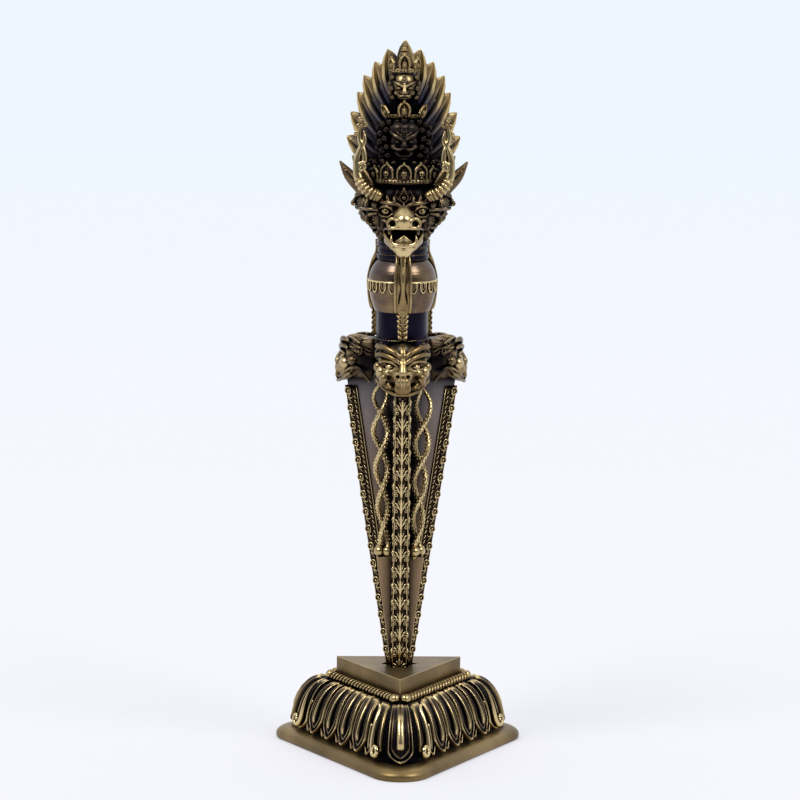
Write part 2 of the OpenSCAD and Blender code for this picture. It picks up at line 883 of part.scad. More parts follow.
module bull_head() {
    color("#a08a52") difference() {
        on_core() {
            hull() {
                ball(up(3.6, -6.5, 13), 6.2);
                ball(up(-3.6, -6.5, 13), 6.2);
                ball(up(0, -7, 17), 4.4);
            }
            hull() {
                ball(up(0, -10, 11), 4.4);
                ball(up(4, -16, 7.3), 2.3);
                ball(up(-4, -16, 7.3), 2.3);
            }
            both_sides() {
                chain([
                    [up(4.1, -17.4, 7.7), 1.9], [up(5.6, -14.4, 6.9), 1.7],
                    [up(6.6, -10.6, 6.8), 1.7]
                ]);
                link(up(1.2, -14.6, 13), 1, up(5.8, -12.4, 14.3), 1.1);
                link(up(5.8, -12.4, 14.3), 1.1, up(8.6, -9.6, 15.6), 0.9);
                ball(up(5.9, -11.8, 11.5), 1.7);
                link(up(7.4, -7.8, 12.4), 2, up(8.4, -8, 15.4), 1.4);
            }
            ball(up(0, -13, 16.4), 1.5);
        }
        for (hand = [-1, 1]) hull() {
            ball(up(hand * 4.1, -19.6, 7.7), 1);
            ball(up(hand * 4, -17.6, 7.7), 0.8);
        }
        translate([-20, -40, lip_z - 20]) cube([40, 60, 20]);
        cheek_room();
        mirror([1, 0, 0]) cheek_room();
    }
}

// Room beside the bull's cheek for the first side face
module cheek_room() {
    rotate([0, 0, front + face_turns[0] - face_half]) translate([0, 0, head_z - 5])
        cube([40, 40, 21]);
}

module bull_jaw() {
    color("#a08a52") difference() {
        on_core() {
            both_sides() chain([
                [up(6.4, -7, 4.6), 1.9], [up(6, -12, 2.2), 1.8],
                [up(4, -16.4, 0.6), 1.7], [up(0, -17.6, -0.6), 1.9]
            ]);
            hull() {
                ball(up(4, -10, -0.4), 1.6);
                ball(up(-4, -10, -0.4), 1.6);
                ball(up(0, -15.6, -1.8), 1.8);
            }
            hull() {
                ball(up(2, -12, 0.8), 1.2);
                ball(up(-2, -12, 0.8), 1.2);
                ball(up(0, -15, 2), 0.9);
            }
            both_sides() link(up(4.3, -16.8, 1), 1, up(4.2, -17, 4.4), 0.4);
        }
        translate([-20, -40, lip_z - 0.1]) cube([40, 60, 20]);
        translate([0, 0, vase_z - 20]) cylinder(r = neck_r + seat_gap, h = 20 + neck_h);
        rotate([0, 0, front]) translate([6, -stave_w / 2, vase_z - 20])
            cube([7, stave_w, stave_high - vase_z + 20.1]);
        cheek_room();
        mirror([1, 0, 0]) cheek_room();
    }
}

// Ringed horn that leaves the brow, sweeps up and ends in a twisted flame
horn_path = [
    [8.9, -11.4, 16.2, 2.3], [11.4, -11.4, 17.4, 2.2], [13.8, -11.1, 19.4, 2.05],
    [15.4, -10.6, 22, 1.9], [16, -10, 25, 1.7], [15.4, -9.4, 28.4, 1.8],
    [14.6, -8.8, 31.6, 1.45], [13.9, -8.3, 35, 1.3], [14.3, -7.9, 38.6, 1.05],
    [15.1, -7.6, 41.4, 0.75]
];
horn_rings = 5;

module horn() {
    last = len(horn_path) - 1;
    union() {
        loft([
            for (i = [0 : last])
                let (
                    h = horn_path[i],
                    q = horn_path[min(i + 1, last)],
                    b = horn_path[max(i - 1, 0)]
                )
                ring(
                    up(h[0], h[1], h[2]), [q[0] - b[0], q[1] - b[1], q[2] - b[2]],
                    [0, 1, 0], h[3], h[3], 6
                )
        ]);
        for (i = [0 : horn_rings - 1])
            let (
                t = 0.35 + i * 0.55,
                k = floor(t),
                a = horn_path[k],
                b = horn_path[k + 1],
                f = t - k,
                p = up(mix(a[0], b[0], f), mix(a[1], b[1], f), mix(a[2], b[2], f)),
                d = [b[0] - a[0], b[1] - a[1], b[2] - a[2]] * 0.12,
                r = mix(a[3], b[3], f)
            )
            loft([
                ring(p - d, d, [0, 1, 0], r * 0.9, r * 0.9, 6),
                ring(p, d, [0, 1, 0], r + 0.4, r + 0.4, 6),
                ring(p + d, d, [0, 1, 0], r * 0.9, r * 0.9, 6)
            ]);
        link(up(14.5, -8.2, 41), 0.8, up(15.8, -7.4, 42), 0.9);
        link(up(15.1, -7.6, 41.4), 0.8, up(15.2, -8, 43.6), 0.7);
    }
}

module horn_right() {
    color("#b39a5c") horn();
}

module horn_left() {
    color("#b39a5c") mirror([1, 0, 0]) horn();
}

// Pointed leaf with a skull on it, drawn upright in the XZ plane
module crown_leaf(w, h, t) {
    rotate([90, 0, 0]) linear_extrude(t) polygon([
        [-w * 0.4, 0], [w * 0.4, 0], [w * 0.5, h * 0.3], [w * 0.42, h * 0.62],
        [w * 0.16, h * 0.88], [0, h], [-w * 0.16, h * 0.88], [-w * 0.42, h * 0.62],
        [-w * 0.5, h * 0.3]
    ]);
    hull() {
        ball([0, -t, h * 0.52], w * 0.22);
        ball([0, -t, h * 0.3], w * 0.14);
    }
}

crown_z = 20.2;
crown_t = 1;
crown_band_r = core_r + 1.1;

module skull_crown() {
    color("#6b5c42") on_core() translate(up(0, 0, crown_z)) {
        difference() {
            cylinder(r = crown_band_r, h = 2, $fn = 36);
            translate([0, 0, -1]) cylinder(r = crown_band_r - crown_t, h = 4, $fn = 36);
            translate([-20, -1.5, -1]) cube([40, 40, 4]);
        }
        for (i = [-2 : 2]) rotate([0, 0, i * 31])
            translate([0, -crown_band_r + crown_t, 0.4])
                crown_leaf(4.9, abs(i) == 2 ? 5 : 6.6, crown_t);
    }
}

// Small face that looks outwards: drawn towards -Y at the core's surface
module side_face(low) {
    hull() {
        ball(up(0, -13, low + 8), 4.6);
        ball(up(0, -12.6, low + 3), 3);
    }
    hull() {
        ball(up(-3, -12.5, low + 11.6), 1.6);
        ball(up(3, -12.5, low + 11.6), 1.6);
        ball(up(0, -14, low + 15.4), 0.6);
    }
    link(up(0, -17, low + 8.8), 0.8, up(0, -17.8, low + 6.6), 1.2);
    link(up(-2.4, -15.4, low + 4), 0.9, up(2.4, -15.4, low + 4), 0.9);
    both_sides() link(up(0.8, -17, low + 9.4), 0.8, up(3.4, -15, low + 10.4), 0.8);
}

face_half = 18.5;
face_turns = [54.3, 91.3, 128.3];
face_lows = [-0.6, 5.2, 5.2];

module side_face_at(i, hand) {
    turn = hand * face_turns[i];
    half = face_half - 0.4;
    color("#4b4234") difference() {
        intersection() {
            on_core() rotate([0, 0, turn]) side_face(face_lows[i]);
            rotate([0, 0, turn]) translate([0, 0, head_z - 5]) linear_extrude(40)
                polygon([[0, 0], polar(40, front - half), polar(40, front + half)]);
        }
        if (i == 0) mirror([hand > 0 ? 0 : 1, 0, 0]) horn_clearance();
    }
}

// Room round the horn's root, kept clear by the face below it
module horn_clearance() {
    for (k = [0 : 3]) hull() for (h = [horn_path[k], horn_path[k + 1]])
        ball(up(h[0], h[1], h[2]), h[3] + 0.6);
}

module side_face_right_1() {
    side_face_at(0, 1);
}

module side_face_right_2() {
    side_face_at(1, 1);
}

module side_face_right_3() {
    side_face_at(2, 1);
}

module side_face_left_1() {
    side_face_at(0, -1);
}

module side_face_left_2() {
    side_face_at(1, -1);
}

module side_face_left_3() {
    side_face_at(2, -1);
}

module wrath_head() {
    color("#3a3430") on_core() {
        hull() {
            ball(up(2.2, -4.6, 38), 3.6);
            ball(up(-2.2, -4.6, 38), 3.6);
            ball(up(0, -4.6, 31), 4);
        }
        link(up(0, -8.2, 36.4), 0.8, up(0, -9.4, 34), 1.2);
        link(up(-2.4, -7.4, 31.6), 1, up(2.4, -7.4, 31.6), 1);
        both_sides() {
            link(up(0.9, -8.2, 37), 0.7, up(4, -7, 38.6), 0.8);
            link(up(0.8, -8.6, 32.9), 0.8, up(3.9, -6.8, 33.6), 0.6);
            hull() ball(up(3, -7.6, 35.6), 1);
            hull() ball(up(3.6, -6.4, 33), 1.5);
            chain([
                [up(5.4, -4, 28.6), 1.9], [up(7.4, -2.8, 34), 2.1], [up(5.6, -3.6, 40), 1.7]
            ]);
        }
        ball(up(0, -8, 39.4), 1);
    }
}

module wrath_crown() {
    color("#7b6740") on_core() translate(up(0, 0, 42.4)) {
        difference() {
            cylinder(r = 7, h = 1.4);
            translate([0, 0, -1]) cylinder(r = 5, h = 4);
            translate([-20, -1.5, -1]) cube([40, 40, 4]);
        }
        for (i = [-1 : 1]) rotate([0, 0, i * 58]) translate([0, -6, 0.8])
            crown_leaf(3.8, i == 0 ? 5 : 4, 0.9);
    }
}

module top_head() {
    color("#6a6058") on_core() {
        hull() {
            ball(up(1.6, -3.6, 55), 2.9);
            ball(up(-1.6, -3.6, 55), 2.9);
            ball(up(0, -3.8, 51.8), 2.7);
        }
        link(up(0, -6.4, 54.6), 0.6, up(0, -7.2, 52.8), 0.8);
        link(up(-1.1, -6.2, 51.2), 0.6, up(1.1, -6.2, 51.2), 0.6);
        both_sides() {
            link(up(0.6, -6.5, 55), 0.5, up(2.8, -5.6, 55.8), 0.5);
            hull() ball(up(2, -6, 53.9), 0.75);
            link(up(2.6, -3, 49), 1.4, up(4, -2.6, 54.6), 1.2);
        }
        hull() ball(up(0, -5.9, 56.3), 0.9);
    }
}

module top_crown() {
    color("#a08a52") on_core() translate(up(0, 0, 58.1)) {
        difference() {
            union() {
                cylinder(r = 5.6, h = 1.3);
                translate([0, 0, -0.2]) cylinder(r = 5, h = 0.4);
            }
            translate([0, 0, -1]) cylinder(r = 1.6, h = 4);
            translate([-20, 0, -1]) cube([40, 40, 4]);
        }
        for (i = [-1 : 1]) rotate([0, 0, i * 60]) translate([0, -4.6, 0.6])
            crown_leaf(3.4, i == 0 ? 5.6 : 4.2, 0.9);
    }
}

// Feather tips of the halo from the middle to the side: across and up
feather_tips = [
    [0, 69], [5.2, 65.9], [9.7, 61.6], [13.5, 56.9], [15.7, 51.1], [18, 44.3], [19.4, 35.9]
];
feather_roots = [
    [0, 50], [1.6, 48], [2.8, 44], [3.6, 39], [4.2, 34], [4.8, 29], [5.4, 25.4]
];
feather_w = 6.8;
halo_y = 1.1;
feather_bulge = [[0, 0.6], [0.55, 1], [0.86, 0.86], [1, 0.24]];

// Upright flame-shaped feather with a ridge down each face
module feather(root, tip) {
    d = unit([tip.x - root.x, tip.y - root.y]);
    side = [d.y, -d.x];
    loft([
        for (k = feather_bulge)
            let (
                c = root + (tip - root) * k[0],
                w = feather_w / 2 * k[1],
                t = halo_t / 2 * mix(1, 0.3, k[0])
            )
            [
                for (q = [[-1, 0.35], [-1, -0.35], [0, -1], [1, -0.35], [1, 0.35], [0, 1]])
                    up(c.x + side.x * w * q[0], halo_y + halo_t / 2 + t * q[1],
                       c.y + side.y * w * q[0])
            ]
    ]);
}

module feather_halo() {
    scale_x = halo_w / feather_tips[6].x;
    color("#4f4638") on_core() difference() {
        for (i = [0 : len(feather_tips) - 1], hand = i == 0 ? [1] : [-1, 1])
            let (
                root = [hand * feather_roots[i].x, feather_roots[i].y],
                tip = [hand * feather_tips[i].x * scale_x, feather_tips[i].y]
            )
            hull() feather(root, tip);
        translate([-40, -40, head_z]) cube([80, 80, 27.2]);
    }
}

// Locks of hair that sweep up the back of the core
module hair_mantle() {
    edge = face_turns[2] + face_half + 0.3;
    color("#2f2b29") difference() {
        on_core() for (i = [-2 : 2])
            let (az = 90 + i * 13.5)
                chain([
                    for (k = [[8.8, 3, 1.9], [10.6, 11, 2.2], [11, 21, 2.1], [8.4, 28, 1.8]])
                        let (p = polar(k[0], az)) [up(p.x, p.y, k[1]), k[2]]
                ]);
        translate([-40, -40, head_z + 27.1]) cube([80, 40 + halo_y + halo_t + 0.2, 60]);
        for (hand = [-1, 1]) rotate([0, 0, hand * edge + 90]) mirror([0, hand > 0 ? 0 : 1, 0])
            translate([-60, 0, head_z - 10]) cube([60, 60, 90]);
    }
}

module topknot() {
    color("#6b5c42") difference() {
        union() {
            chain([
                [up(0, -1.4, core_h + 1.4), 2], [up(0, -1.2, core_h + 4.6), 1.5],
                [up(0, -0.9, core_h + 7), 1]
            ]);
            both_sides() chain([
                [up(1.4, -1.6, core_h + 2), 0.9], [up(1.2, -1.6, core_h + 4), 0.8],
                [up(0.2, -1.4, core_h + 5.8), 0.7]
            ]);
            hull() ball(up(0, -2.4, core_h + 4), 0.8);
        }
        translate([-20, -20, head_z + core_h - 30]) cube([40, 40, 30 + seat_gap]);
        translate([-20, halo_y - 0.1, head_z]) cube([40, 40, 90]);
    }
}

foot();
lotus_dome();
petals_left();
petals_right();
petals_back();
corner_petals();
petal_scrolls();
rope_moulding();
platform();
platform_screws();
base_cover();
cover_screws();
tip_socket();
blade();
edge_rail_front();
edge_rail_right();
edge_rail_left();
snake_left_a();
snake_left_b();
snake_right_a();
snake_right_b();
snake_back_a();
snake_back_b();
makara_collar();
makara_front();
makara_right();
makara_left();
shaft();
vase();
stave_front();
stave_right();
stave_left();
neck_rings();
tie_rod();
head_core();
bull_head();
bull_jaw();
horn_left();
horn_right();
skull_crown();
side_face_left_1();
side_face_left_2();
side_face_left_3();
side_face_right_1();
side_face_right_2();
side_face_right_3();
wrath_head();
wrath_crown();
top_head();
top_crown();
feather_halo();
hair_mantle();
topknot();
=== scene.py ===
import math
import bmesh
import bpy
import numpy as np
import openvdb
from mathutils import Matrix, Vector


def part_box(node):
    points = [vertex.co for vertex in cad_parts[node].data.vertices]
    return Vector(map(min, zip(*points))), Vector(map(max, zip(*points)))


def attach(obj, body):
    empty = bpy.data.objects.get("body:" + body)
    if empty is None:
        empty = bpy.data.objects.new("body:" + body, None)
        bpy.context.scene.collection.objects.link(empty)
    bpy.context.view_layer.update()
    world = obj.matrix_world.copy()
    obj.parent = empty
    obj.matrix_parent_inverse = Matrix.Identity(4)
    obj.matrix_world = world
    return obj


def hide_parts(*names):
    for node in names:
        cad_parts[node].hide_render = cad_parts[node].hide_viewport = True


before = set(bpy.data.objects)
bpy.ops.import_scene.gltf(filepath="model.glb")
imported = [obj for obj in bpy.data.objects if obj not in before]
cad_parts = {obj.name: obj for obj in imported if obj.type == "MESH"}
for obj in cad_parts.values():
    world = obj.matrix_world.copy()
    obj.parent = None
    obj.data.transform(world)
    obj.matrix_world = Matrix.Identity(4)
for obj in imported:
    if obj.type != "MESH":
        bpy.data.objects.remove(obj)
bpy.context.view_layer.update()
mm = 0.001  # everything below is thought out in millimetres


def boxMm(node):  # lowest and highest corner of a CAD node
    low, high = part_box(node)
    return np.array(low) / mm, np.array(high) / mm


def mix(a, b, t):
    return a + (b - a) * t


def tone(red, green, blue):  # a given colour, as Blender's shaders want it
    return tuple((c / 255) ** 2.2 for c in (red, green, blue)) + (1.0,)


# The levels that all the ornament hangs on, read from the frame
levels = {
    "foot": boxMm("foot")[1][2],
    "deck": boxMm("lotus_dome")[1][2],
    "bladeTop": boxMm("blade")[1][2],
    "railTop": boxMm("edge_rail_front")[1][2],
    "vaseFoot": boxMm("vase")[0][2],
    "vaseTop": boxMm("vase")[1][2],
    "head": boxMm("neck_rings")[1][2],
}
corners = {"front": 270, "right": 30, "left": 150}
sides = {"right": 330, "left": 210, "back": 90}

shot = {
    "focalPixels": 3930.2,
    "framePixels": 800,
    "sensor": 36,
    "farEnd": 60,
    "place": (-0.5, -1355.3, 329.7),
    "pitch": 8.595,
    "lean": 0.5,
    "swing": -1.0,  # the camera stands a little to the left of the front edge
}


def makeCamera():
    data = bpy.data.cameras.new("studioCamera")
    data.sensor_width = shot["sensor"]
    data.lens = shot["focalPixels"] * shot["sensor"] / shot["framePixels"]
    data.clip_end = shot["farEnd"]
    camera = bpy.data.objects.new("studioCamera", data)
    swing = Matrix.Rotation(math.radians(shot["swing"]), 3, "Z")
    tilt = Matrix.Rotation(math.radians(90 - shot["pitch"]), 3, "X")
    lean = Matrix.Rotation(math.radians(shot["lean"]), 3, "Z")
    camera.location = swing @ Vector(shot["place"]) * mm
    camera.rotation_euler = (swing @ tilt @ lean).to_euler()
    bpy.context.collection.objects.link(camera)
    bpy.context.scene.camera = camera


makeCamera()


# Node tools: an input takes a plain value or another node's output
def setInputs(tree, node, inputs):
    for key, value in dict(inputs).items():
        if isinstance(value, bpy.types.NodeSocket):
            tree.links.new(value, node.inputs[key])
        else:
            node.inputs[key].default_value = value


def addNode(tree, kind, inputs=(), **settings):
    made = tree.nodes.new(kind)
    for key, value in settings.items():
        setattr(made, key, value)
    setInputs(tree, made, inputs)
    return made


def mathNode(tree, how, a, b, clamp=False):
    return addNode(tree, "ShaderNodeMath", {0: a, 1: b}, operation=how, use_clamp=clamp).outputs[0]


def rangeNode(tree, value, low, high, start=0.0, end=1.0):  # carries one stretch of values to another
    return addNode(tree, "ShaderNodeMapRange", {
        "Value": value, "From Min": low, "From Max": high, "To Min": start, "To Max": end,
    }).outputs["Result"]


def mixNode(tree, share, first, second):  # two colours mixed by a share
    return addNode(
        tree, "ShaderNodeMix", {"Factor": share, 6: first, 7: second}, data_type="RGBA"
    ).outputs[2]


def rampNode(tree, share, stops):  # colours at given places between 0 and 1
    made = addNode(tree, "ShaderNodeValToRGB", {"Fac": share})
    marks = made.color_ramp.elements
    marks.remove(marks[1])
    for number, (where, colour) in enumerate(stops):
        mark = marks.new(where) if number else marks[0]
        mark.position = where
        mark.color = colour
    return made.outputs["Color"]


def noiseNode(tree, place, scale, detail, rough=0.5):
    return addNode(tree, "ShaderNodeTexNoise", {
        "Vector": place, "Scale": scale, "Detail": detail, "Roughness": rough,
    }).outputs["Fac"]


def axisOf(tree, vector, axis):
    return addNode(tree, "ShaderNodeSeparateXYZ", {"Vector": vector}).outputs[axis]


def newCoat(name):  # a fresh material with its tree and its surface node
    made = bpy.data.materials.new(name)
    made.use_nodes = True
    return made, made.node_tree, made.node_tree.nodes["Principled BSDF"]


studio = {
    "skyBack": (0.90, 0.94, 1.0, 1),
    "skyFront": (0.10, 0.105, 0.13, 1),
    "skyTurn": (-0.75, 0.1),  # where the dark front of the sky gives way to its pale back
    "skyStrength": 1.0,
    "floorNear": tone(250, 249, 255),
    "floorFar": tone(240, 248, 255),
    "floorFade": (0.1, 2.5),
    "floorDepth": 0.3,  # share of the paper's tone that is left to the lamps, the rest glows
    "floorGlow": 0.5,
    "floorHalf": 12,
    "suns": [  # turn from the front, height above the floor, width of the glow, strength
        (-48, 50, 26, 1.9),
        (52, 44, 26, 1.35),
        (180, 60, 50, 0.6),
    ],
}


def makeStudio():
    bpy.context.scene.view_settings.view_transform = "Standard"
    world = bpy.data.worlds.new("studioSky")
    bpy.context.scene.world = world
    world.use_nodes = True
    tree = world.node_tree
    tree.nodes.clear()
    way = addNode(tree, "ShaderNodeTexCoord").outputs["Generated"]
    back = rangeNode(tree, axisOf(tree, way, "Y"), *studio["skyTurn"])
    sky = mixNode(tree, back, studio["skyFront"], studio["skyBack"])
    glow = addNode(tree, "ShaderNodeBackground", {"Color": sky, "Strength": studio["skyStrength"]})
    addNode(tree, "ShaderNodeOutputWorld", {"Surface": glow.outputs[0]})
    for number, (turn, height, width, strength) in enumerate(studio["suns"]):
        data = bpy.data.lights.new("softSun%d" % number, "SUN")
        data.energy = strength
        data.angle = math.radians(width)
        lamp = bpy.data.objects.new(data.name, data)
        lamp.rotation_euler = (math.radians(90 - height), 0, math.radians(turn))
        bpy.context.collection.objects.link(lamp)


def makeFloor():
    half = studio["floorHalf"]
    mesh = bpy.data.meshes.new("floor")
    spread = [(-half, -half, 0), (half, -half, 0), (half, half, 0), (-half, half, 0)]
    mesh.from_pydata(spread, [], [(0, 1, 2, 3)])
    floor = bpy.data.objects.new("floor", mesh)
    bpy.context.collection.objects.link(floor)
    paper, tree, coat = newCoat("palePaper")
    place = addNode(tree, "ShaderNodeTexCoord").outputs["Object"]
    away = rangeNode(tree, axisOf(tree, place, "Y"), *studio["floorFade"])
    colour = rampNode(tree, away, [(0, studio["floorNear"]), (1, studio["floorFar"])])
    path = addNode(tree, "ShaderNodeLightPath").outputs
    seen = mathNode(tree, "MAXIMUM", path["Is Camera Ray"], path["Is Glossy Ray"])
    seen = mathNode(tree, "MAXIMUM", seen, path["Is Transmission Ray"])
    setInputs(tree, coat, {
        "Base Color": mixNode(tree, studio["floorDepth"], (0, 0, 0, 1), colour),
        "Roughness": 0.8, "Specular IOR Level": 0.0, "Emission Color": colour,
        "Emission Strength": mathNode(tree, "MULTIPLY", seen, studio["floorGlow"]),
    })
    mesh.materials.append(paper)


makeStudio()
makeFloor()
print("camera, lamps and floor stand")


# Metals: dark patina in the hollows, deepened there with painted shade wherever other surfaces stand
# near, brass rubbed bright on what stands proud
patinaAndShade = {
    # reach, samples, open and depth set the painted shade that deepens the patina in the hollows
    "reach": 1.4, "samples": 8, "open": 0.8, "depth": 0.8, "clouds": 260, "pits": 900, "pitDepth": 0.1,
    "stops": {"hollow": 0.2, "body": 0.47, "raised": 0.68, "rubbed": 0.95},
}
castMetals = {
    "castDark": {
        "hollow": tone(7, 7, 13), "body": tone(25, 24, 31), "raised": tone(78, 67, 54),
        "rubbed": tone(182, 158, 114), "rough": (0.42, 0.27), "mottle": 0.14,
    },
    "castBronze": {
        "hollow": tone(8, 8, 13), "body": tone(37, 32, 33), "raised": tone(100, 84, 62),
        "rubbed": tone(202, 179, 130), "rough": (0.42, 0.26), "mottle": 0.12,
    },
    "castBrass": {
        "hollow": tone(8, 8, 12), "body": tone(52, 43, 34), "raised": tone(130, 108, 72),
        "rubbed": tone(214, 192, 142), "rough": (0.4, 0.24), "mottle": 0.1,
    },
    "featherBronze": {
        "hollow": tone(8, 9, 18), "body": tone(68, 69, 88), "raised": tone(116, 105, 92),
        "rubbed": tone(200, 176, 126), "rough": (0.4, 0.28), "mottle": 0.1,
    },
}


def openness(tree, reach):  # 1 where nothing stands near, less in a hollow
    return addNode(
        tree, "ShaderNodeAmbientOcclusion", {"Distance": reach * mm}, samples=patinaAndShade["samples"]
    ).outputs["AO"]


def castMetal(name):
    look = castMetals[name]
    made, tree, coat = newCoat(name)
    place = addNode(tree, "ShaderNodeTexCoord").outputs["Object"]
    cloud = mathNode(tree, "SUBTRACT", noiseNode(tree, place, patinaAndShade["clouds"], 4, 0.6), 0.5)
    shift = mathNode(tree, "MULTIPLY", cloud, look["mottle"] * 2)
    # painted shade on top of the patina: the less open a point is within reach, the darker it is painted
    hidden = mathNode(tree, "SUBTRACT", patinaAndShade["open"], openness(tree, patinaAndShade["reach"]))
    hidden = mathNode(tree, "MULTIPLY", hidden, patinaAndShade["depth"])
    wear = addNode(tree, "ShaderNodeAttribute", attribute_name="wear").outputs["Fac"]
    worn = mathNode(tree, "ADD", wear, shift)
    worn = mathNode(tree, "SUBTRACT", worn, hidden, clamp=True)
    pits = noiseNode(tree, place, patinaAndShade["pits"], 3)
    bump = addNode(
        tree, "ShaderNodeBump", {"Height": pits, "Strength": 0.25, "Distance": patinaAndShade["pitDepth"] * mm}
    )
    setInputs(tree, coat, {
        "Base Color": rampNode(
            tree, worn, [(where, look[key]) for key, where in patinaAndShade["stops"].items()],
        ),
        "Roughness": rangeNode(tree, worn, 0.0, 1.0, *look["rough"]),
        "Metallic": 1.0, "Normal": bump.outputs["Normal"],
    })
    return made


# Plainer metals for the machined and turned pieces that the frame carries over
plainMetals = {
    "footBronze": {
        "low": tone(88, 73, 47), "high": tone(146, 123, 84), "edge": tone(210, 186, 136),
        "rough": 0.42, "stretch": (12, 12, 420), "cloud": 46, "edgeWidth": 0.35,
    },
    "webBronze": {
        "low": tone(120, 103, 90), "high": tone(206, 172, 126), "edge": tone(214, 186, 140),
        "rough": 0.3, "stretch": (300, 300, 9), "cloud": 14, "edgeWidth": 0.3,
        # shade and hollow paint shade into the grooves round the snakes
        "shade": (13.0, 0.55, 1.0), "fade": (84, 136, tone(106, 109, 122)), "hollow": tone(8, 8, 14),
    },
    "darkBronze": {
        "low": tone(12, 12, 20), "high": tone(42, 40, 54), "edge": tone(140, 122, 90),
        "rough": 0.26, "stretch": (40, 40, 300), "cloud": 60, "edgeWidth": 0.3,
    },
    "coreBronze": {
        "low": tone(6, 6, 10), "high": tone(14, 13, 19), "edge": tone(40, 34, 26),
        "rough": 0.6, "stretch": (40, 40, 300), "cloud": 60, "edgeWidth": 0.2,
    },
    "vaseBronze": {
        "low": tone(50, 46, 58), "high": tone(160, 132, 92), "edge": tone(190, 168, 124),
        "rough": 0.27, "stretch": (30, 30, 260), "cloud": 70, "edgeWidth": 0.25,
        # shade and hollow paint shade on the grip where the straps close in
        "shade": (4.0, 0.35, 0.9), "fade": (165, 177, tone(60, 58, 68)), "hollow": tone(14, 13, 22),
    },
    "screwSteel": {
        "low": tone(120, 120, 118), "high": tone(170, 170, 166), "edge": tone(205, 205, 200),
        "rough": 0.32, "stretch": (60, 60, 60), "cloud": 200, "edgeWidth": 0.15,
    },
}
brushing = {
    "clouds": 0.8, "strokes": 0.25, "limits": (0.32, 0.72), "depth": 0.08, "fadeShare": 0.85,
    "edgeTurn": (0.99, 0.86),
}


def plainMetal(name):
    look = plainMetals[name]
    made, tree, coat = newCoat(name)
    place = addNode(tree, "ShaderNodeTexCoord").outputs["Object"]
    cloud = mathNode(tree, "MULTIPLY", noiseNode(tree, place, look["cloud"], 3, 0.55), brushing["clouds"])
    strokes = addNode(tree, "ShaderNodeMapping", {"Vector": place, "Scale": look["stretch"]})
    brush = noiseNode(tree, strokes.outputs["Vector"], 6, 4, 0.7)
    both = mathNode(tree, "ADD", cloud, mathNode(tree, "MULTIPLY", brush, brushing["strokes"]))
    share = rangeNode(tree, both, *brushing["limits"])
    colour = rampNode(tree, share, [(0, look["low"]), (1, look["high"])])
    if "fade" in look:  # another tone takes over between two heights
        low, high, tint = look["fade"]
        height = axisOf(tree, place, "Z")
        rise = rangeNode(tree, height, low * mm, high * mm, 0.0, brushing["fadeShare"])
        colour = mixNode(tree, rise, colour, tint)
    if "shade" in look:  # painted shade in the deep parts, darker where other surfaces stand within reach
        reach, dark, clear = look["shade"]
        left = rangeNode(tree, openness(tree, reach), dark, clear)
        colour = mixNode(tree, left, look["hollow"], colour)
    # a sharp edge turns the bevel's normal away from the face's own
    eased = addNode(tree, "ShaderNodeBevel", {"Radius": look["edgeWidth"] * mm}, samples=6).outputs[0]
    flat = addNode(tree, "ShaderNodeNewGeometry").outputs["Normal"]
    along = addNode(tree, "ShaderNodeVectorMath", {0: eased, 1: flat}, operation="DOT_PRODUCT")
    edge = rangeNode(tree, along.outputs["Value"], *brushing["edgeTurn"])
    bump = addNode(tree, "ShaderNodeBump", {
        "Height": brush, "Strength": 0.12, "Distance": brushing["depth"] * mm, "Normal": eased,
    })
    setInputs(tree, coat, {
        "Base Color": mixNode(tree, edge, colour, look["edge"]), "Metallic": 1.0,
        "Roughness": look["rough"], "Normal": bump.outputs["Normal"],
    })
    return made


finishes = {name: castMetal(name) for name in castMetals}
finishes.update({name: plainMetal(name) for name in plainMetals})
print("metals mixed")


# Small mesh tools: a form is a pair of points in millimetres and faces
def joined(forms):
    points, faces, start = [], [], 0
    for more, skin in forms:
        points.append(np.asarray(more, float))
        faces += [[i + start for i in face] for face in skin]
        start += len(more)
    return np.vstack(points), faces


def moved(form, step):
    return np.asarray(form[0]) + np.array(step), form[1]


def stretched(form, shares):
    return np.asarray(form[0]) * shares, form[1]


def turned(form, degrees):  # about the dagger's axis
    a = math.radians(degrees)
    spin = np.array([[math.cos(a), -math.sin(a), 0], [math.sin(a), math.cos(a), 0], [0, 0, 1]])
    return np.asarray(form[0]) @ spin.T, form[1]


def turnedSpot(spot, degrees):
    return turned(([spot], []), degrees)[0][0]


def leaned(form, degrees):  # tipped about Y, as the edge of a vane is
    a = math.radians(degrees)
    spin = np.array([[math.cos(a), 0, math.sin(a)], [0, 1, 0], [-math.sin(a), 0, math.cos(a)]])
    return np.asarray(form[0]) @ spin.T, form[1]


def flipped(form):  # mirrored to the other side, with its faces still outwards
    return np.asarray(form[0]) * (-1, 1, 1), [face[::-1] for face in form[1]]


def roundTurns(count):
    return np.arange(count) * 2 * math.pi / count


def smoothLine(points, radii, steps):  # a smooth line through a few points, with its thickness
    points, radii = np.array(points, float), np.array(radii, float)
    if len(points) < 3:
        return points, radii
    rows = np.column_stack([points, radii])
    padded = np.vstack([2 * rows[0] - rows[1], rows, 2 * rows[-1] - rows[-2]])
    out = []
    for i in range(1, len(padded) - 2):
        a, b, c, d = padded[i - 1:i + 3]
        for t in np.arange(steps) / steps:
            square, cube = (2 * a - 5 * b + 4 * c - d) * t ** 2, (3 * b - a - 3 * c + d) * t ** 3
            out.append(0.5 * (2 * b + (c - a) * t + square + cube))
    out = np.array(out + [rows[-1]])
    return out[:, :3], np.maximum(out[:, 3], 0.05)


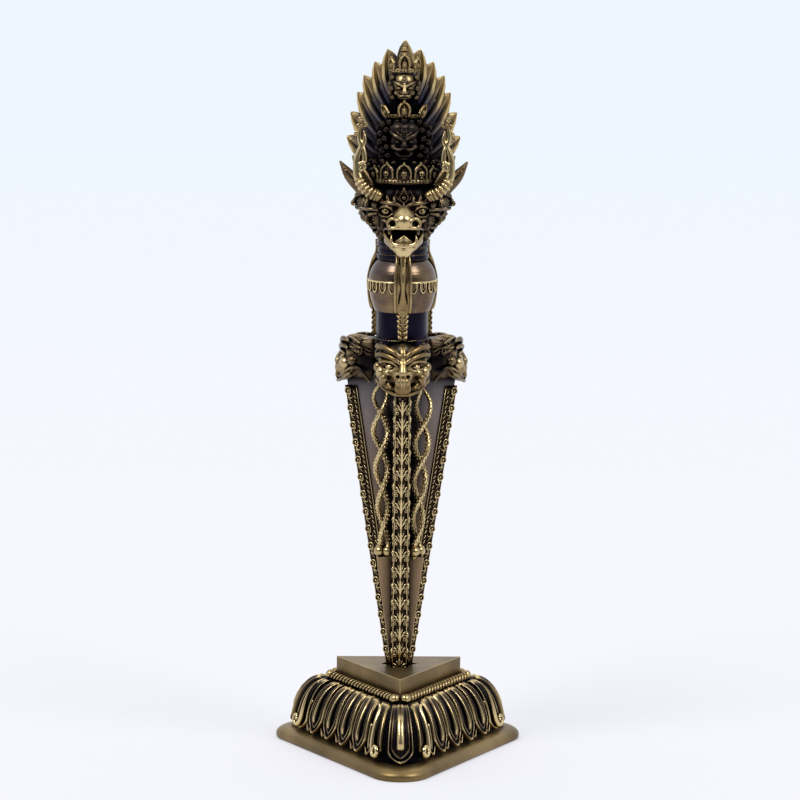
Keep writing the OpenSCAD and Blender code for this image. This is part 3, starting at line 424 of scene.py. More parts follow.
def tube(points, radii, around, steps=4):  # closed round bar along a line
    line, size = smoothLine(points, radii, steps)
    ahead = np.gradient(line, axis=0)
    ahead /= np.linalg.norm(ahead, axis=1)[:, None]
    side = np.cross(ahead[0], (0.3, 0.9, 0.2))
    rows = []
    for place, way, r in zip(line, ahead, size):
        side = side - way * side.dot(way)
        side /= np.linalg.norm(side)
        other = np.cross(way, side)
        rows += [place + r * (side * math.cos(a) + other * math.sin(a)) for a in roundTurns(around)]
    rows += [line[0] - ahead[0] * size[0] * 0.6, line[-1] + ahead[-1] * size[-1] * 0.6]
    faces, last = [], len(line) - 1
    for i in range(last):
        for j in range(around):
            k = (j + 1) % around
            faces.append([i * around + j, i * around + k, (i + 1) * around + k, (i + 1) * around + j])
    low, high = len(rows) - 2, len(rows) - 1
    for j in range(around):
        k = (j + 1) % around
        faces += [[low, k, j], [high, last * around + j, last * around + k]]
    return np.array(rows), faces


def levelBand(radius, z, thick, start, stop):  # round bar that runs level round the axis
    turns = np.radians(np.arange(start, stop + 1, 6))
    line = [(radius * math.cos(a), radius * math.sin(a), z) for a in turns]
    return tube(line, [thick] * len(line), 8, 1)


def slab(front, back):  # closed sheet between two grids of points, its rim stitched
    rows, cols = front.shape[:2]
    count = rows * cols
    points = np.vstack([front.reshape(-1, 3), back.reshape(-1, 3)])
    faces = []
    for i in range(rows - 1):
        for j in range(cols - 1):
            a, b, c, d = i * cols + j, i * cols + j + 1, (i + 1) * cols + j + 1, (i + 1) * cols + j
            faces += [[a, b, c, d], [count + d, count + c, count + b, count + a]]
    rim = list(range(cols)) + [i * cols + cols - 1 for i in range(1, rows)]
    rim += [(rows - 1) * cols + j for j in range(cols - 2, -1, -1)]
    rim += [i * cols for i in range(rows - 2, 0, -1)]
    for a, b in zip(rim, rim[1:] + rim[:1]):
        faces.append([b, a, count + a, count + b])
    return points, faces


def spindle(length, width):  # small six-sided leaf, pointed at both ends, along Z
    points = [(0, 0, -length / 2), (0, 0, length / 2)]
    for share, z in ((0.8, -0.22), (0.95, 0.12)):
        reach = width / 2 * share
        points += [(reach * math.cos(a), reach * math.sin(a), z * length) for a in roundTurns(6)]
    faces = []
    for j in range(6):
        low, after = 2 + j, 2 + (j + 1) % 6
        faces += [[0, after, low], [low, after, after + 6, low + 6], [1, low + 6, after + 6]]
    return np.array(points), faces


def bead(r, around=10, rings=6):
    points = [(0, 0, -1), (0, 0, 1)]
    for i in range(1, rings):
        t = math.pi * i / rings
        points += [
            (math.sin(t) * math.cos(a), math.sin(t) * math.sin(a), -math.cos(t))
            for a in roundTurns(around)
        ]
    faces = []
    for j in range(around):
        k = (j + 1) % around
        faces += [[0, 2 + k, 2 + j]]
        for i in range(rings - 2):
            a = 2 + i * around
            faces.append([a + j, a + k, a + around + k, a + around + j])
        top = 2 + (rings - 2) * around
        faces.append([1, top + j, top + k])
    return np.array(points) * r, faces


def toMesh(name, form):
    mesh = bpy.data.meshes.new(name)
    faces = [list(map(int, face)) for face in form[1]]
    mesh.from_pydata((np.asarray(form[0]) * mm).tolist(), [], faces)
    return mesh


def readPoints(mesh, what):
    values = np.empty(len(mesh.vertices) * 3)
    mesh.vertices.foreach_get(what, values)
    return values.reshape(-1, 3)


def fromMesh(mesh):  # back to points in millimetres and faces
    return readPoints(mesh, "co") / mm, [list(face.vertices) for face in mesh.polygons]


def markWear(mesh, rounds, gain, spots, lift):
    # each point's height over its blurred surroundings says how much it is rubbed
    count = len(mesh.vertices)
    place = readPoints(mesh, "co") / mm
    ends = np.empty(len(mesh.edges) * 2, np.int32)
    mesh.edges.foreach_get("vertices", ends)
    a, b = ends[::2], ends[1::2]
    degree = np.maximum(np.bincount(a, minlength=count) + np.bincount(b, minlength=count), 1)
    soft = place.copy()
    for _ in range(rounds):
        for k in range(3):
            near = np.bincount(a, soft[b, k], count) + np.bincount(b, soft[a, k], count)
            soft[:, k] = soft[:, k] * 0.4 + near / degree * 0.6
    proud = ((place - soft) * readPoints(mesh, "normal")).sum(1)
    worn = 0.5 + lift + gain * proud
    for centre, reach, amount in spots:
        worn += amount * np.exp(-((place - np.array(centre)) ** 2).sum(1) / reach ** 2)
    values = np.clip(worn, 0, 1).astype(np.float32)
    mesh.attributes.new("wear", "FLOAT", "POINT").data.foreach_set("value", values)


# Wear is the rounds of blurring and the gain; spots are places, reaches and amounts added to the wear, a
# negative amount darkening the place
def makePiece(name, form, body, finish, replaced, wear, spots=(), lift=0.0, closed=False):
    mesh = toMesh(name, form)
    if not closed:
        work = bmesh.new()
        work.from_mesh(mesh)
        bmesh.ops.recalc_face_normals(work, faces=work.faces)
        work.to_mesh(mesh)
        work.free()
    mesh.shade_smooth()
    mesh.materials.append(finishes[finish])
    markWear(mesh, wear[0], wear[1], spots, lift)
    piece = bpy.data.objects.new(name, mesh)
    bpy.context.collection.objects.link(piece)
    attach(piece, body)
    if replaced:
        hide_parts(*replaced)


# Geometry Nodes: five small trees make whatever repeats or follows a path
def newTree(name, wanted):
    tree = bpy.data.node_groups.new(name, "GeometryNodeTree")
    for label, kind in wanted + [("Finish", "Material")]:
        tree.interface.new_socket(label, in_out="INPUT", socket_type="NodeSocket" + kind)
    tree.interface.new_socket("Geometry", in_out="OUTPUT", socket_type="NodeSocketGeometry")
    return tree, tree.nodes.new("NodeGroupInput").outputs


def endTree(tree, geometry, finish):
    solid = addNode(tree, "GeometryNodeRealizeInstances", {0: geometry}).outputs[0]
    painted = addNode(tree, "GeometryNodeSetMaterial", {"Geometry": solid, "Material": finish})
    addNode(tree, "NodeGroupOutput", {0: painted.outputs[0]})
    return tree


def elementOf(tree, source):
    return addNode(tree, "GeometryNodeObjectInfo", {"Object": source}).outputs["Geometry"]


def copiesOn(tree, dots, source, **inputs):  # a copy of the source on each point
    wanted = {"Points": dots, "Instance": elementOf(tree, source), **inputs}
    return addNode(tree, "GeometryNodeInstanceOnPoints", wanted).outputs[0]


def carried(tree, name, kind="FLOAT_VECTOR"):  # what the points carry under a name
    return addNode(
        tree, "GeometryNodeInputNamedAttribute", {"Name": name}, data_type=kind
    ).outputs["Attribute"]


def pointAt(tree, **axes):
    return addNode(tree, "ShaderNodeCombineXYZ", axes).outputs[0]


def pointsAt(tree, count, spot):
    return addNode(tree, "GeometryNodePoints", {"Count": count, "Position": spot}).outputs[0]


def lineTree():  # copies in a straight row
    tree, given = newTree("rowOfCopies", [
        ("Element", "Object"), ("Count", "Int"), ("First", "Vector"), ("Step", "Vector"),
    ])
    row = addNode(
        tree, "GeometryNodeMeshLine",
        {"Count": given["Count"], "Start Location": given["First"], "Offset": given["Step"]},
    ).outputs[0]
    return endTree(tree, copiesOn(tree, row, given["Element"]), given["Finish"])


def ringTree():  # copies round the dagger's axis, each facing outwards
    tree, given = newTree("ringOfCopies", [
        ("Element", "Object"), ("Count", "Int"), ("Radius", "Float"), ("Height", "Float"),
        ("First Angle", "Float"), ("Angle Step", "Float"), ("Size", "Float"),
    ])
    index = addNode(tree, "GeometryNodeInputIndex").outputs[0]
    angle = mathNode(
        tree, "ADD", given["First Angle"], mathNode(tree, "MULTIPLY", index, given["Angle Step"]),
    )
    across = mathNode(tree, "MULTIPLY", given["Radius"], mathNode(tree, "COSINE", angle, 0))
    along = mathNode(tree, "MULTIPLY", given["Radius"], mathNode(tree, "SINE", angle, 0))
    dots = pointsAt(tree, given["Count"], pointAt(tree, X=across, Y=along, Z=given["Height"]))
    facing = addNode(tree, "FunctionNodeEulerToRotation", {0: pointAt(tree, Z=angle)}).outputs[0]
    copies = copiesOn(tree, dots, given["Element"], Rotation=facing, Scale=given["Size"])
    return endTree(tree, copies, given["Finish"])


def petalTree():  # a row of petals along Y that draws together towards the top of the dome
    tree, given = newTree("petalRow", [
        ("Petal", "Object"), ("Count", "Int"), ("Pitch", "Float"), ("Draw In", "Float"),
        ("Low", "Float"), ("High", "Float"),
    ])
    half = mathNode(tree, "MULTIPLY", mathNode(tree, "SUBTRACT", given["Count"], 1), 0.5)
    index = addNode(tree, "GeometryNodeInputIndex").outputs[0]
    at = mathNode(tree, "MULTIPLY", mathNode(tree, "SUBTRACT", index, half), given["Pitch"])
    dots = pointsAt(tree, given["Count"], pointAt(tree, Y=at))
    noted = addNode(
        tree, "GeometryNodeStoreNamedAttribute", {"Geometry": dots, "Name": "at", "Value": at},
        data_type="FLOAT", domain="POINT",
    ).outputs[0]
    copies = copiesOn(tree, noted, given["Petal"])
    solid = addNode(tree, "GeometryNodeRealizeInstances", {0: copies}).outputs[0]
    height = axisOf(tree, addNode(tree, "GeometryNodeInputPosition").outputs[0], "Z")
    share = rangeNode(tree, height, given["Low"], given["High"])
    flat = mathNode(tree, "SUBTRACT", 1, mathNode(tree, "MULTIPLY", share, share))
    swell = mathNode(tree, "SQRT", mathNode(tree, "MAXIMUM", flat, 0), 0)
    pull = mathNode(tree, "MULTIPLY", given["Draw In"], mathNode(tree, "SUBTRACT", swell, 1))
    shift = pointAt(tree, Y=mathNode(tree, "MULTIPLY", carried(tree, "at", "FLOAT"), pull))
    drawn = addNode(tree, "GeometryNodeSetPosition", {"Geometry": solid, "Offset": shift}).outputs[0]
    return endTree(tree, drawn, given["Finish"])


def scaledTree():  # a round body along a path, tapering to its end and set with rings of scales
    tree, given = newTree("scaledBody", [
        ("Path", "Object"), ("Scale Ring", "Object"), ("Rings", "Int"), ("Girth", "Float"),
        ("Tail Girth", "Float"), ("Taper Start", "Float"), ("Core", "Float"), ("Half Turn", "Float"),
    ])
    line = addNode(tree, "GeometryNodeMeshToCurve", {0: elementOf(tree, given["Path"])}).outputs[0]
    even = addNode(
        tree, "GeometryNodeResampleCurve", {"Curve": line, "Count": given["Rings"]}
    ).outputs[0]
    along = addNode(tree, "GeometryNodeSplineParameter").outputs["Factor"]
    girth = rangeNode(tree, along, given["Taper Start"], 1.0, given["Girth"], given["Tail Girth"])
    sized = addNode(tree, "GeometryNodeSetCurveRadius", {"Curve": even, "Radius": girth}).outputs[0]
    circle = addNode(
        tree, "GeometryNodeCurvePrimitiveCircle", {"Resolution": 8, "Radius": given["Core"]}
    ).outputs[0]
    body = addNode(
        tree, "GeometryNodeCurveToMesh",
        {"Curve": sized, "Profile Curve": circle, "Scale": girth, "Fill Caps": True},
    )
    dots = addNode(tree, "GeometryNodeCurveToPoints", {"Curve": sized, "Count": given["Rings"]})
    index = addNode(tree, "GeometryNodeInputIndex").outputs[0]
    odd = mathNode(tree, "MULTIPLY", mathNode(tree, "MODULO", index, 2), given["Half Turn"])
    roll = addNode(tree, "FunctionNodeAxisAngleToRotation", {"Axis": (0, 0, 1), "Angle": odd}).outputs[0]
    facing = addNode(
        tree, "FunctionNodeRotateRotation",
        {"Rotation": dots.outputs["Rotation"], "Rotate By": roll}, rotation_space="LOCAL",
    ).outputs[0]
    size = addNode(tree, "GeometryNodeInputRadius").outputs[0]
    scales = copiesOn(tree, dots.outputs["Points"], given["Scale Ring"], Rotation=facing, Scale=size)
    both = tree.nodes.new("GeometryNodeJoinGeometry")
    tree.links.new(body.outputs[0], both.inputs[0])
    tree.links.new(scales, both.inputs[0])
    return endTree(tree, both.outputs[0], given["Finish"])


def fanTree():  # feathers placed, turned and sized by what each point carries
    tree, given = newTree("featherFan", [("Spots", "Object"), ("Feather", "Object")])
    dots = elementOf(tree, given["Spots"])
    facing = addNode(tree, "FunctionNodeEulerToRotation", {0: carried(tree, "turn")}).outputs[0]
    copies = copiesOn(tree, dots, given["Feather"], Rotation=facing, Scale=carried(tree, "size"))
    return endTree(tree, copies, given["Finish"])


trees = {
    "row": lineTree(), "ring": ringTree(), "petals": petalTree(), "scaled": scaledTree(),
    "fan": fanTree(),
}


def element(form, attributes=()):  # a helper object that a tree copies or follows
    mesh = form if isinstance(form, bpy.types.Mesh) else toMesh("element", form)
    for name, rows in dict(attributes).items():
        mesh.attributes.new(name, "FLOAT_VECTOR", "POINT").data.foreach_set("vector", np.ravel(rows))
    helper = bpy.data.objects.new("element", mesh)
    bpy.context.collection.objects.link(helper)
    return helper


def runTree(treeName, values, finish="castBrass", keep=False):  # the plain mesh that a tree makes
    tree = trees[treeName]
    values = {**values, "Finish": finishes[finish]}
    holder = bpy.data.objects.new("holder", bpy.data.meshes.new("holder"))
    bpy.context.collection.objects.link(holder)
    modifier = holder.modifiers.new(tree.name, "NODES")
    modifier.node_group = tree
    for item in tree.interface.items_tree:
        if item.in_out == "INPUT" and item.name in values:
            modifier[item.identifier] = values[item.name]
    depsgraph = bpy.context.evaluated_depsgraph_get()
    mesh = bpy.data.meshes.new_from_object(holder.evaluated_get(depsgraph), depsgraph=depsgraph)
    holder.modifiers.remove(modifier)
    form = fromMesh(mesh)
    bpy.data.objects.remove(holder)
    for value in values.values():
        if isinstance(value, bpy.types.Object) and not keep:
            bpy.data.objects.remove(value)
    return form


def rowOf(form, count, first, step):
    return runTree("row", {
        "Element": element(form), "Count": count, "First": [v * mm for v in first],
        "Step": [v * mm for v in step],
    })


def ringOf(form, count, radius, height, firstAngle, angleStep, size=1.0, finish="castBrass"):
    return runTree("ring", {
        "Element": element(form), "Count": count, "Radius": radius * mm, "Height": height * mm,
        "First Angle": math.radians(firstAngle), "Angle Step": math.radians(angleStep),
        "Size": float(size),
    }, finish)


# Clay: a field of distances that a figure is built up in, as wax is before casting
class Clay:
    def __init__(self, low, high, grain, mirrored=True):
        self.low = np.array([0 if mirrored else low[0], low[1], low[2]], float)
        self.grain = grain
        self.mirrored = mirrored
        self.size = np.ceil((np.array(high, float) - self.low) / grain).astype(int) + 1
        self.field = np.full(self.size, 3.0, np.float32)

    def window(self, low, high):  # the stretch of the field between two corners
        first = np.clip(np.floor((low - self.low) / self.grain).astype(int), 0, self.size)
        last = np.clip(np.ceil((high - self.low) / self.grain).astype(int) + 1, 0, self.size)
        axes = [
            (self.low[k] + self.grain * np.arange(first[k], last[k])).astype(np.float32)
            for k in range(3)
        ]
        part = tuple(slice(a, b) for a, b in zip(first, last))
        return first, part, np.meshgrid(*axes, indexing="ij", sparse=True)

    def press(self, part, distance, soft, cut):  # adds a shape or cuts it out, its seam softened
        old = -self.field[part] if cut else self.field[part]
        if soft > 0:
            share = np.clip(0.5 + 0.5 * (distance - old) / soft, 0, 1)
            new = distance * (1 - share) + old * share - soft * share * (1 - share)
        else:
            new = np.minimum(old, distance)
        self.field[part] = -new if cut else new

    def ball(self, centre, radius, soft=0.3, cut=False):  # round or, with three radii, an egg
        centre = np.array(centre, float)
        radius = np.array(radius if np.ndim(radius) else (radius,) * 3, float)
        margin = radius.max() + soft + 3 * self.grain
        _, part, grid = self.window(centre - margin, centre + margin)
        if min(s.stop - s.start for s in part) <= 0:
            return
        spot = [axis - middle for axis, middle in zip(grid, centre)]
        near = np.sqrt(sum((spot[k] / radius[k]) ** 2 for k in range(3)))
        steep = np.sqrt(sum((spot[k] / radius[k] ** 2) ** 2 for k in range(3)))
        distance = near * (near - 1) / np.maximum(steep, 1e-6)
        self.press(part, distance.astype(np.float32), soft, cut)

    def strand(self, points, radii, soft=0.3, cut=False, steps=4):  # a bar along a smooth line
        radii = radii if np.ndim(radii) else [radii] * len(points)
        line, size = smoothLine(points, radii, steps)
        margin = soft + 3 * self.grain
        wide = size[:, None]
        first, part, _ = self.window((line - wide).min(0) - margin, (line + wide).max(0) + margin)
        shape = [s.stop - s.start for s in part]
        if min(shape) <= 0:
            return
        near = np.full(shape, 3.0, np.float32)
        for a, b, ra, rb in zip(line, line[1:], size, size[1:]):
            reach = max(ra, rb) + margin
            start, _, (x, y, z) = self.window(np.minimum(a, b) - reach, np.maximum(a, b) + reach)
            way = b - a
            px, py, pz = x - a[0], y - a[1], z - a[2]
            share = np.clip((px * way[0] + py * way[1] + pz * way[2]) / max(way.dot(way), 1e-9), 0, 1)
            gap = np.sqrt(
                (px - share * way[0]) ** 2 + (py - share * way[1]) ** 2 + (pz - share * way[2]) ** 2
            )
            gap = gap - (ra + (rb - ra) * share)
            at = tuple(
                slice(max(s - f, 0), max(s - f, 0) + n)
                for s, f, n in zip(start, first, gap.shape)
            )
            room = near[at].shape
            near[at] = np.minimum(near[at], gap[:room[0], :room[1], :room[2]])
        self.press(part, near, soft, cut)

    def hoop(self, centre, facing, radius, thick, soft=0.2, cut=False, sweep=(0, 360), grow=0.0):
        facing = np.array(facing, float) / np.linalg.norm(facing)
        side = np.cross(facing, (0, 0, 1.0) if abs(facing[2]) < 0.9 else (1.0, 0, 0))
        side /= np.linalg.norm(side)
        over = np.cross(side, facing)
        count = max(5, int(abs(sweep[1] - sweep[0]) / 24))
        turns = np.radians(np.linspace(sweep[0], sweep[1], count))
        points = [
            np.array(centre) + (radius + grow * s) * (side * math.cos(a) + over * math.sin(a))
            for a, s in zip(turns, np.linspace(0, 1, count))
        ]
        self.strand(points, [thick] * count, soft, cut, steps=1)

    def trim(self, rule):  # keeps only where the rule is negative
        _, _, (x, y, z) = self.window(self.low, self.low + self.grain * self.size)
        self.field = np.maximum(self.field, rule(x, y, z)).astype(np.float32)

    def skin(self, lift):  # the figure's surface, raised to its place on the dagger
        field, low = self.field, self.low.copy()
        if self.mirrored:
            field = np.concatenate([field[:0:-1], field])
            low[0] = -self.grain * (self.size[0] - 1)
        block = openvdb.FloatGrid(3.0)
        block.copyFromArray(np.ascontiguousarray(field, dtype=np.float32))
        points, quads = block.convertToQuads(isovalue=0.0)
        points = points * self.grain + low + np.array((0, 0, lift))
        quads = quads.astype(int)
        a, b, c, d = (points[quads[:, k]] for k in range(4))
        inward = (np.cross(c - a, d - b) * a).sum() < 0
        return points, (quads[:, ::-1] if inward else quads).tolist()


print("tools ready")


# Foot: the flat ring with a convex band that the whole stand rests on
footShape = {
    "reach": 37.5, "corner": 11, "lip": 1.5, "band": 6.5, "holeApothem": 18.75, "holeCorner": 3,
    "ledge": 3.2, "coverDeep": 2, "cornerSteps": 24, "bandSteps": 14,
    "heel": ((0.7, 0), (0.15, 0.35)),  # how far the lowest edge draws in, and how high
}


def polar(radius, azimuth):
    return np.array((radius * math.cos(math.radians(azimuth)), radius * math.sin(math.radians(azimuth))))


def triangleRing(apothem, corner, z, steps):  # a triangle with round corners, level at z
    rows = []
    for azimuth in corners.values():
        centre = polar(2 * (apothem - corner), azimuth)
        for i in range(steps + 1):
            x, y = centre + polar(corner, azimuth - 60 + 120 * i / steps)
            rows.append((x, y, z))
    return rows


def buildFoot():
    shape = footShape
    corner, steps = shape["corner"], shape["cornerSteps"]
    section = [(corner - inward, z) for inward, z in shape["heel"]] + [(corner, shape["lip"])]
    for i in range(1, shape["bandSteps"] + 1):
        turn = math.pi / 2 * i / shape["bandSteps"]
        section.append((
            corner - shape["band"] * (1 - math.cos(turn)),
            shape["lip"] + (levels["foot"] - shape["lip"]) * math.sin(turn),
        ))
    rings = [triangleRing(shape["reach"] / 2 + x, x, z, steps) for x, z in section]
    deep, ledge = shape["coverDeep"], shape["ledge"]
    for out, z in ((0, levels["foot"]), (0, deep), (ledge, deep), (ledge, 0)):
        rings.append(triangleRing(shape["holeApothem"] + out, shape["holeCorner"] + out, z, steps))
    count = len(rings[0])
    faces = []
    for i in range(len(rings)):
        for j in range(count):
            k, n = (j + 1) % count, (i + 1) % len(rings)
            faces.append([i * count + j, i * count + k, n * count + k, n * count + j])
    form = (np.vstack(rings), faces)
    makePiece("footRing", form, "stand", "footBronze", ["foot"], (8, 2.2))


buildFoot()


# Lotus: petals that hang from the deck down the dome, their tips just above the foot
dome = {
    "deckApothem": 16.2, "baseApothem": 24.25, "deckCorner": 2.5, "baseCorner": 7,
    "low": levels["foot"], "high": levels["deck"], "drawIn": 0.2,
}
# A petal's bar is its start, width and height; a ridge is its distance from the rim, width and height
petal = {
    "half": 4.75, "tip": 6.0, "thick": 2.7, "rows": 56, "cols": 41, "low": 0.03, "high": 0.993,
    "bar": (4.4, 0.5, 0.6), "ridges": ((0.5, 0.36, 0.4), (1.75, 0.34, 0.2)), "taper": 0.26,
}
underPetal = {
    "half": 2.6, "tip": 4.0, "thick": 1.7, "rows": 30, "cols": 25, "low": 0.012, "high": 0.6,
    "bar": (2.6, 0.35, 0.4), "ridges": ((0.45, 0.3, 0.6),), "taper": 0.1,
}
cornerPetal = {
    "half": 4.3, "tip": 3.8, "thick": 2.1, "rows": 64, "cols": 45, "low": 0.02, "high": 0.99,
    "bar": (5.4, 1.1, 0.8), "ridges": ((0.5, 0.36, 0.5), (1.5, 0.28, 0.24)), "taper": 0.3,
}
scrollPetal = {
    "half": 3.7, "tip": 3.6, "thick": 1.6, "rows": 44, "cols": 29, "low": 0.03, "high": 0.99,
    "bar": (3.0, 0.3, 0.1), "ridges": ((0.4, 0.3, 0.45),), "taper": 0.45,
}


def onSide(s, across, lift):  # a point over the flat side of the dome that faces +X
    swell = np.sqrt(np.maximum(1 - s ** 2, 0))
    run = dome["baseApothem"] - dome["deckApothem"]
    rise = dome["high"] - dome["low"]
    out = dome["deckApothem"] + run * swell
    steep = np.sqrt((swell / run) ** 2 + (s / rise) ** 2)
    return np.stack([
        out + lift * swell / run / steep, across, dome["low"] + rise * s + lift * s / rise / steep,
    ], axis=-1)


def onCorner(s, across, lift):  # the same over the round corner that faces +X
    swell = np.sqrt(np.maximum(1 - s ** 2, 0))
    run = dome["baseApothem"] - dome["deckApothem"]
    spread = dome["baseCorner"] - dome["deckCorner"]
    rise = dome["high"] - dome["low"]
    radius = dome["deckCorner"] + spread * swell
    centre = 2 * (dome["deckApothem"] + run * swell - radius)
    grow = 2 * run - spread
    steep = np.sqrt((swell / grow) ** 2 + (s / rise) ** 2)
    wide = radius + lift * swell / grow / steep
    turn = np.clip(across / radius, -math.pi / 3, math.pi / 3)
    spare = across - turn * radius
    return np.stack([
        centre + wide * np.cos(turn) - spare * np.sin(turn),
        wide * np.sin(turn) + spare * np.cos(turn),
        dome["low"] + rise * s + lift * s / rise / steep,
    ], axis=-1)


def petalForm(look, place):  # laid over the dome by the function that is given as its place
    s = np.linspace(look["low"], look["high"], look["rows"])
    line = place(s, s * 0, s * 0)
    length = np.concatenate([[0], np.cumsum(np.linalg.norm(np.diff(line, axis=0), axis=1))])
    total = length[-1]

    def outline(at, inset=0.0):  # half width at a distance from the tip, less for an inner ridge
        at = np.maximum(np.asarray(at, float) - inset * 1.35, 0)
        ogive = np.sin(math.pi / 2 * np.minimum(1, at / look["tip"])) ** 0.72
        return np.maximum(look["half"] * (1 - look["taper"] * (at / total) ** 2) - inset, 0.05) * ogive

    across = np.linspace(-1, 1, look["cols"])[None, :]
    bend = np.sign(across) * np.abs(across) ** 0.85
    x = bend * (outline(length)[:, None] + 0.02)
    along = np.broadcast_to(length[:, None], x.shape)
    height = np.broadcast_to(0.2 + 0.28 * (1 - across ** 2), x.shape).copy()
    sample = np.linspace(0, total, 160)
    for inset, width, gain in look["ridges"]:
        edge = outline(sample, inset)
        start = inset * 1.35
        edge = np.where(sample < start, 0, edge)
        far = sample >= start
        gap = np.min(
            np.hypot(np.abs(x)[..., None] - edge[far], along[..., None] - sample[far]), axis=-1
        )
        height += gain * np.exp(-(gap / width) ** 2)
    root, half, gain = look["bar"]
    gap = np.hypot(x, np.maximum(root - along, 0))
    height += gain * np.exp(-(gap / half) ** 4) * np.clip((along - root + 1.5) / 3, 0, 1) ** 0.5
    height += 0.25 * np.exp(-(along / 1.4) ** 2)
    rim = 1 - np.abs(across) ** 24
    thin = 1 - 0.7 * s[:, None] ** 2
    lift = look["thick"] * height * rim * thin - 0.5 * (1 - rim)
    grid = np.broadcast_to(s[:, None], x.shape)
    front = place(grid, x, lift)
    back = place(grid, x * 0.96, np.full(x.shape, -0.9))
    return slab(front, back)


def petalRow(look, count):
    return runTree("petals", {
        "Petal": element(petalForm(look, onSide)), "Count": count, "Pitch": petals["pitch"] * mm,
        "Draw In": dome["drawIn"], "Low": dome["low"] * mm, "High": dome["high"] * mm,
    }, "castBronze")


petals = {
    "count": 4, "pitch": 10.2, "underCount": 5, "underInset": 0.8, "wear": (7, 1.9), "lift": -0.16,
    "cornerRub": (0.35, 0.5, 0.65, 0.8),  # rubbed places up the corner petals
}


def buildPetals():
    upper = petalRow(petal, petals["count"])
    lower = moved(petalRow(underPetal, petals["underCount"]), (-petals["underInset"], 0, 0))
    for name, azimuth in sides.items():
        makePiece(
            "petals" + name.capitalize(), turned(joined([upper, lower]), azimuth), "stand",
            "castBronze", ["petals_" + name], petals["wear"], lift=petals["lift"],
            closed=True,
        )


buildPetals()


def buildCornerPetals():
    form = petalForm(cornerPetal, onCorner)
    three = ringOf(form, 3, 0, 0, corners["front"], 120, finish="castBronze")
    tops = [onCorner(np.array(s), np.array(0.0), np.array(2.4)) for s in petals["cornerRub"]]
    spots = [(turnedSpot(top, azimuth), 1.5, 0.5) for top in tops for azimuth in corners.values()]
    makePiece(
        "cornerPetals", three, "stand", "castBronze", ["corner_petals"],
        petals["wear"], spots, petals["lift"], closed=True,
    )


buildCornerPetals()

scroll = {"at": 25.6, "curl": 2.15, "steps": 14}


def scrollForm(hand):  # leaf with a raised stem that rolls up outwards at its foot
    leaf = petalForm(scrollPetal, onSide)
    stem = [(0.93, 0.1), (0.75, 0.2), (0.55, 0.55), (0.36, 0.7), (0.22, 0.4)]
    points = [onSide(np.array(s), np.array(-hand * y), np.array(1.4)) for s, y in stem]
    radii = [0.42, 0.5, 0.66, 0.85, 1.0]
    rise = dome["high"] - dome["low"]
    for i in range(1, scroll["steps"] + 1):
        share = i / scroll["steps"]
        turn = math.radians(-20 - 330 * share)
        size = scroll["curl"] * (1 - 0.62 * share)
        s = 0.19 + (size * math.sin(turn) + 0.3) / rise
        y = size * math.cos(turn) - 1.9
        points.append(onSide(np.array(s), np.array(-hand * y), np.array(1.7 + 0.5 * share)))
        radii.append(1.0 - 0.45 * share)
    return joined([leaf, tube(points, radii, 10, 3), moved(bead(0.75), points[-1])])


def buildScrolls():
    forms = []
    for azimuth in sides.values():
        for hand in (-1, 1):
            form = scrollForm(hand)
            share = np.clip((form[0][:, 2] - dome["low"]) / (dome["high"] - dome["low"]), 0, 1)
            draw = 1 - dome["drawIn"] * (1 - np.sqrt(1 - share ** 2))
            aside = np.column_stack([share * 0, hand * scroll["at"] * draw, share * 0])
            forms.append(turned(moved(form, aside), azimuth))
    makePiece(
        "petalScrolls", joined(forms), "stand", "castBrass", ["petal_scrolls"],
        (9, 1.3), lift=-0.17,
    )


buildScrolls()
print("lotus petals hang on the dome")

# Rope: slanted lobes along each side of the deck, a ball at either end
rope = {
    "thick": 3.3, "apothem": 14.95, "lobes": 22, "ball": 1.8, "ballIn": 3.6, "slant": 0.5, "sink": 0.5,
}


def buildRope():
    radius = rope["thick"] / 2
    length = 2 * rope["apothem"] * math.sqrt(3) - 2 * rope["ballIn"]
    pitch = length / rope["lobes"]
    lobe = stretched(bead(1, 18, 12), (radius, pitch * 0.49, radius))
    lobe = moved(lobe, np.outer(lobe[0][:, 2], (0, rope["slant"], 0)))
    out, z = rope["apothem"], levels["deck"] + radius - rope["sink"]
    lobes = rowOf(lobe, rope["lobes"], (out, (pitch - length) / 2, z), (0, pitch, 0))
    core = tube([(out, -length / 2, z), (out, length / 2, z)], [radius * 0.62] * 2, 12)
    forms = [lobes, core]
    for hand in (-1, 1):
        middle = (out, hand * length / 2, levels["deck"] + rope["ball"] - rope["sink"])
        forms.append(moved(bead(rope["ball"], 18, 12), middle))
    side = joined(forms)
    makePiece(
        "ropeMoulding", joined([turned(side, azimuth) for azimuth in sides.values()]), "stand",
        "castBrass", ["rope_moulding"], (3, 2.2), lift=-0.12,
    )


buildRope()

# Blade: the edge of every vane is capped with a rail of scrolls, leaves and a spine
blade = {
    "low": 21.7, "top": levels["bladeTop"], "lowReach": 2.6, "topReach": 22.4, "vane": 4.4,
    "ledge": 70,
}
rail = {
    "wide": 5.6, "skin": 0.9, "deep": 5.2, "scrollPitch": 6.05, "scroll": 1.4, "leafPitch": 1.75,
    "palmPitch": 5.9, "gap": 0.08, "drop": 0.5, "fieldLift": -0.18, "lift": 0.14, "gain": 2.0,
    "scrollLow": 32.4, "leafLow": 41, "leafLean": 38,
}


def edgeReach(z):  # how far a vane's edge stands off the axis
    share = (z - blade["low"]) / (blade["top"] - blade["low"])
    return mix(blade["lowReach"], blade["topReach"], share)


edgeSlope = (blade["topReach"] - blade["lowReach"]) / (blade["top"] - blade["low"])
edgeLean = math.degrees(math.atan(edgeSlope))


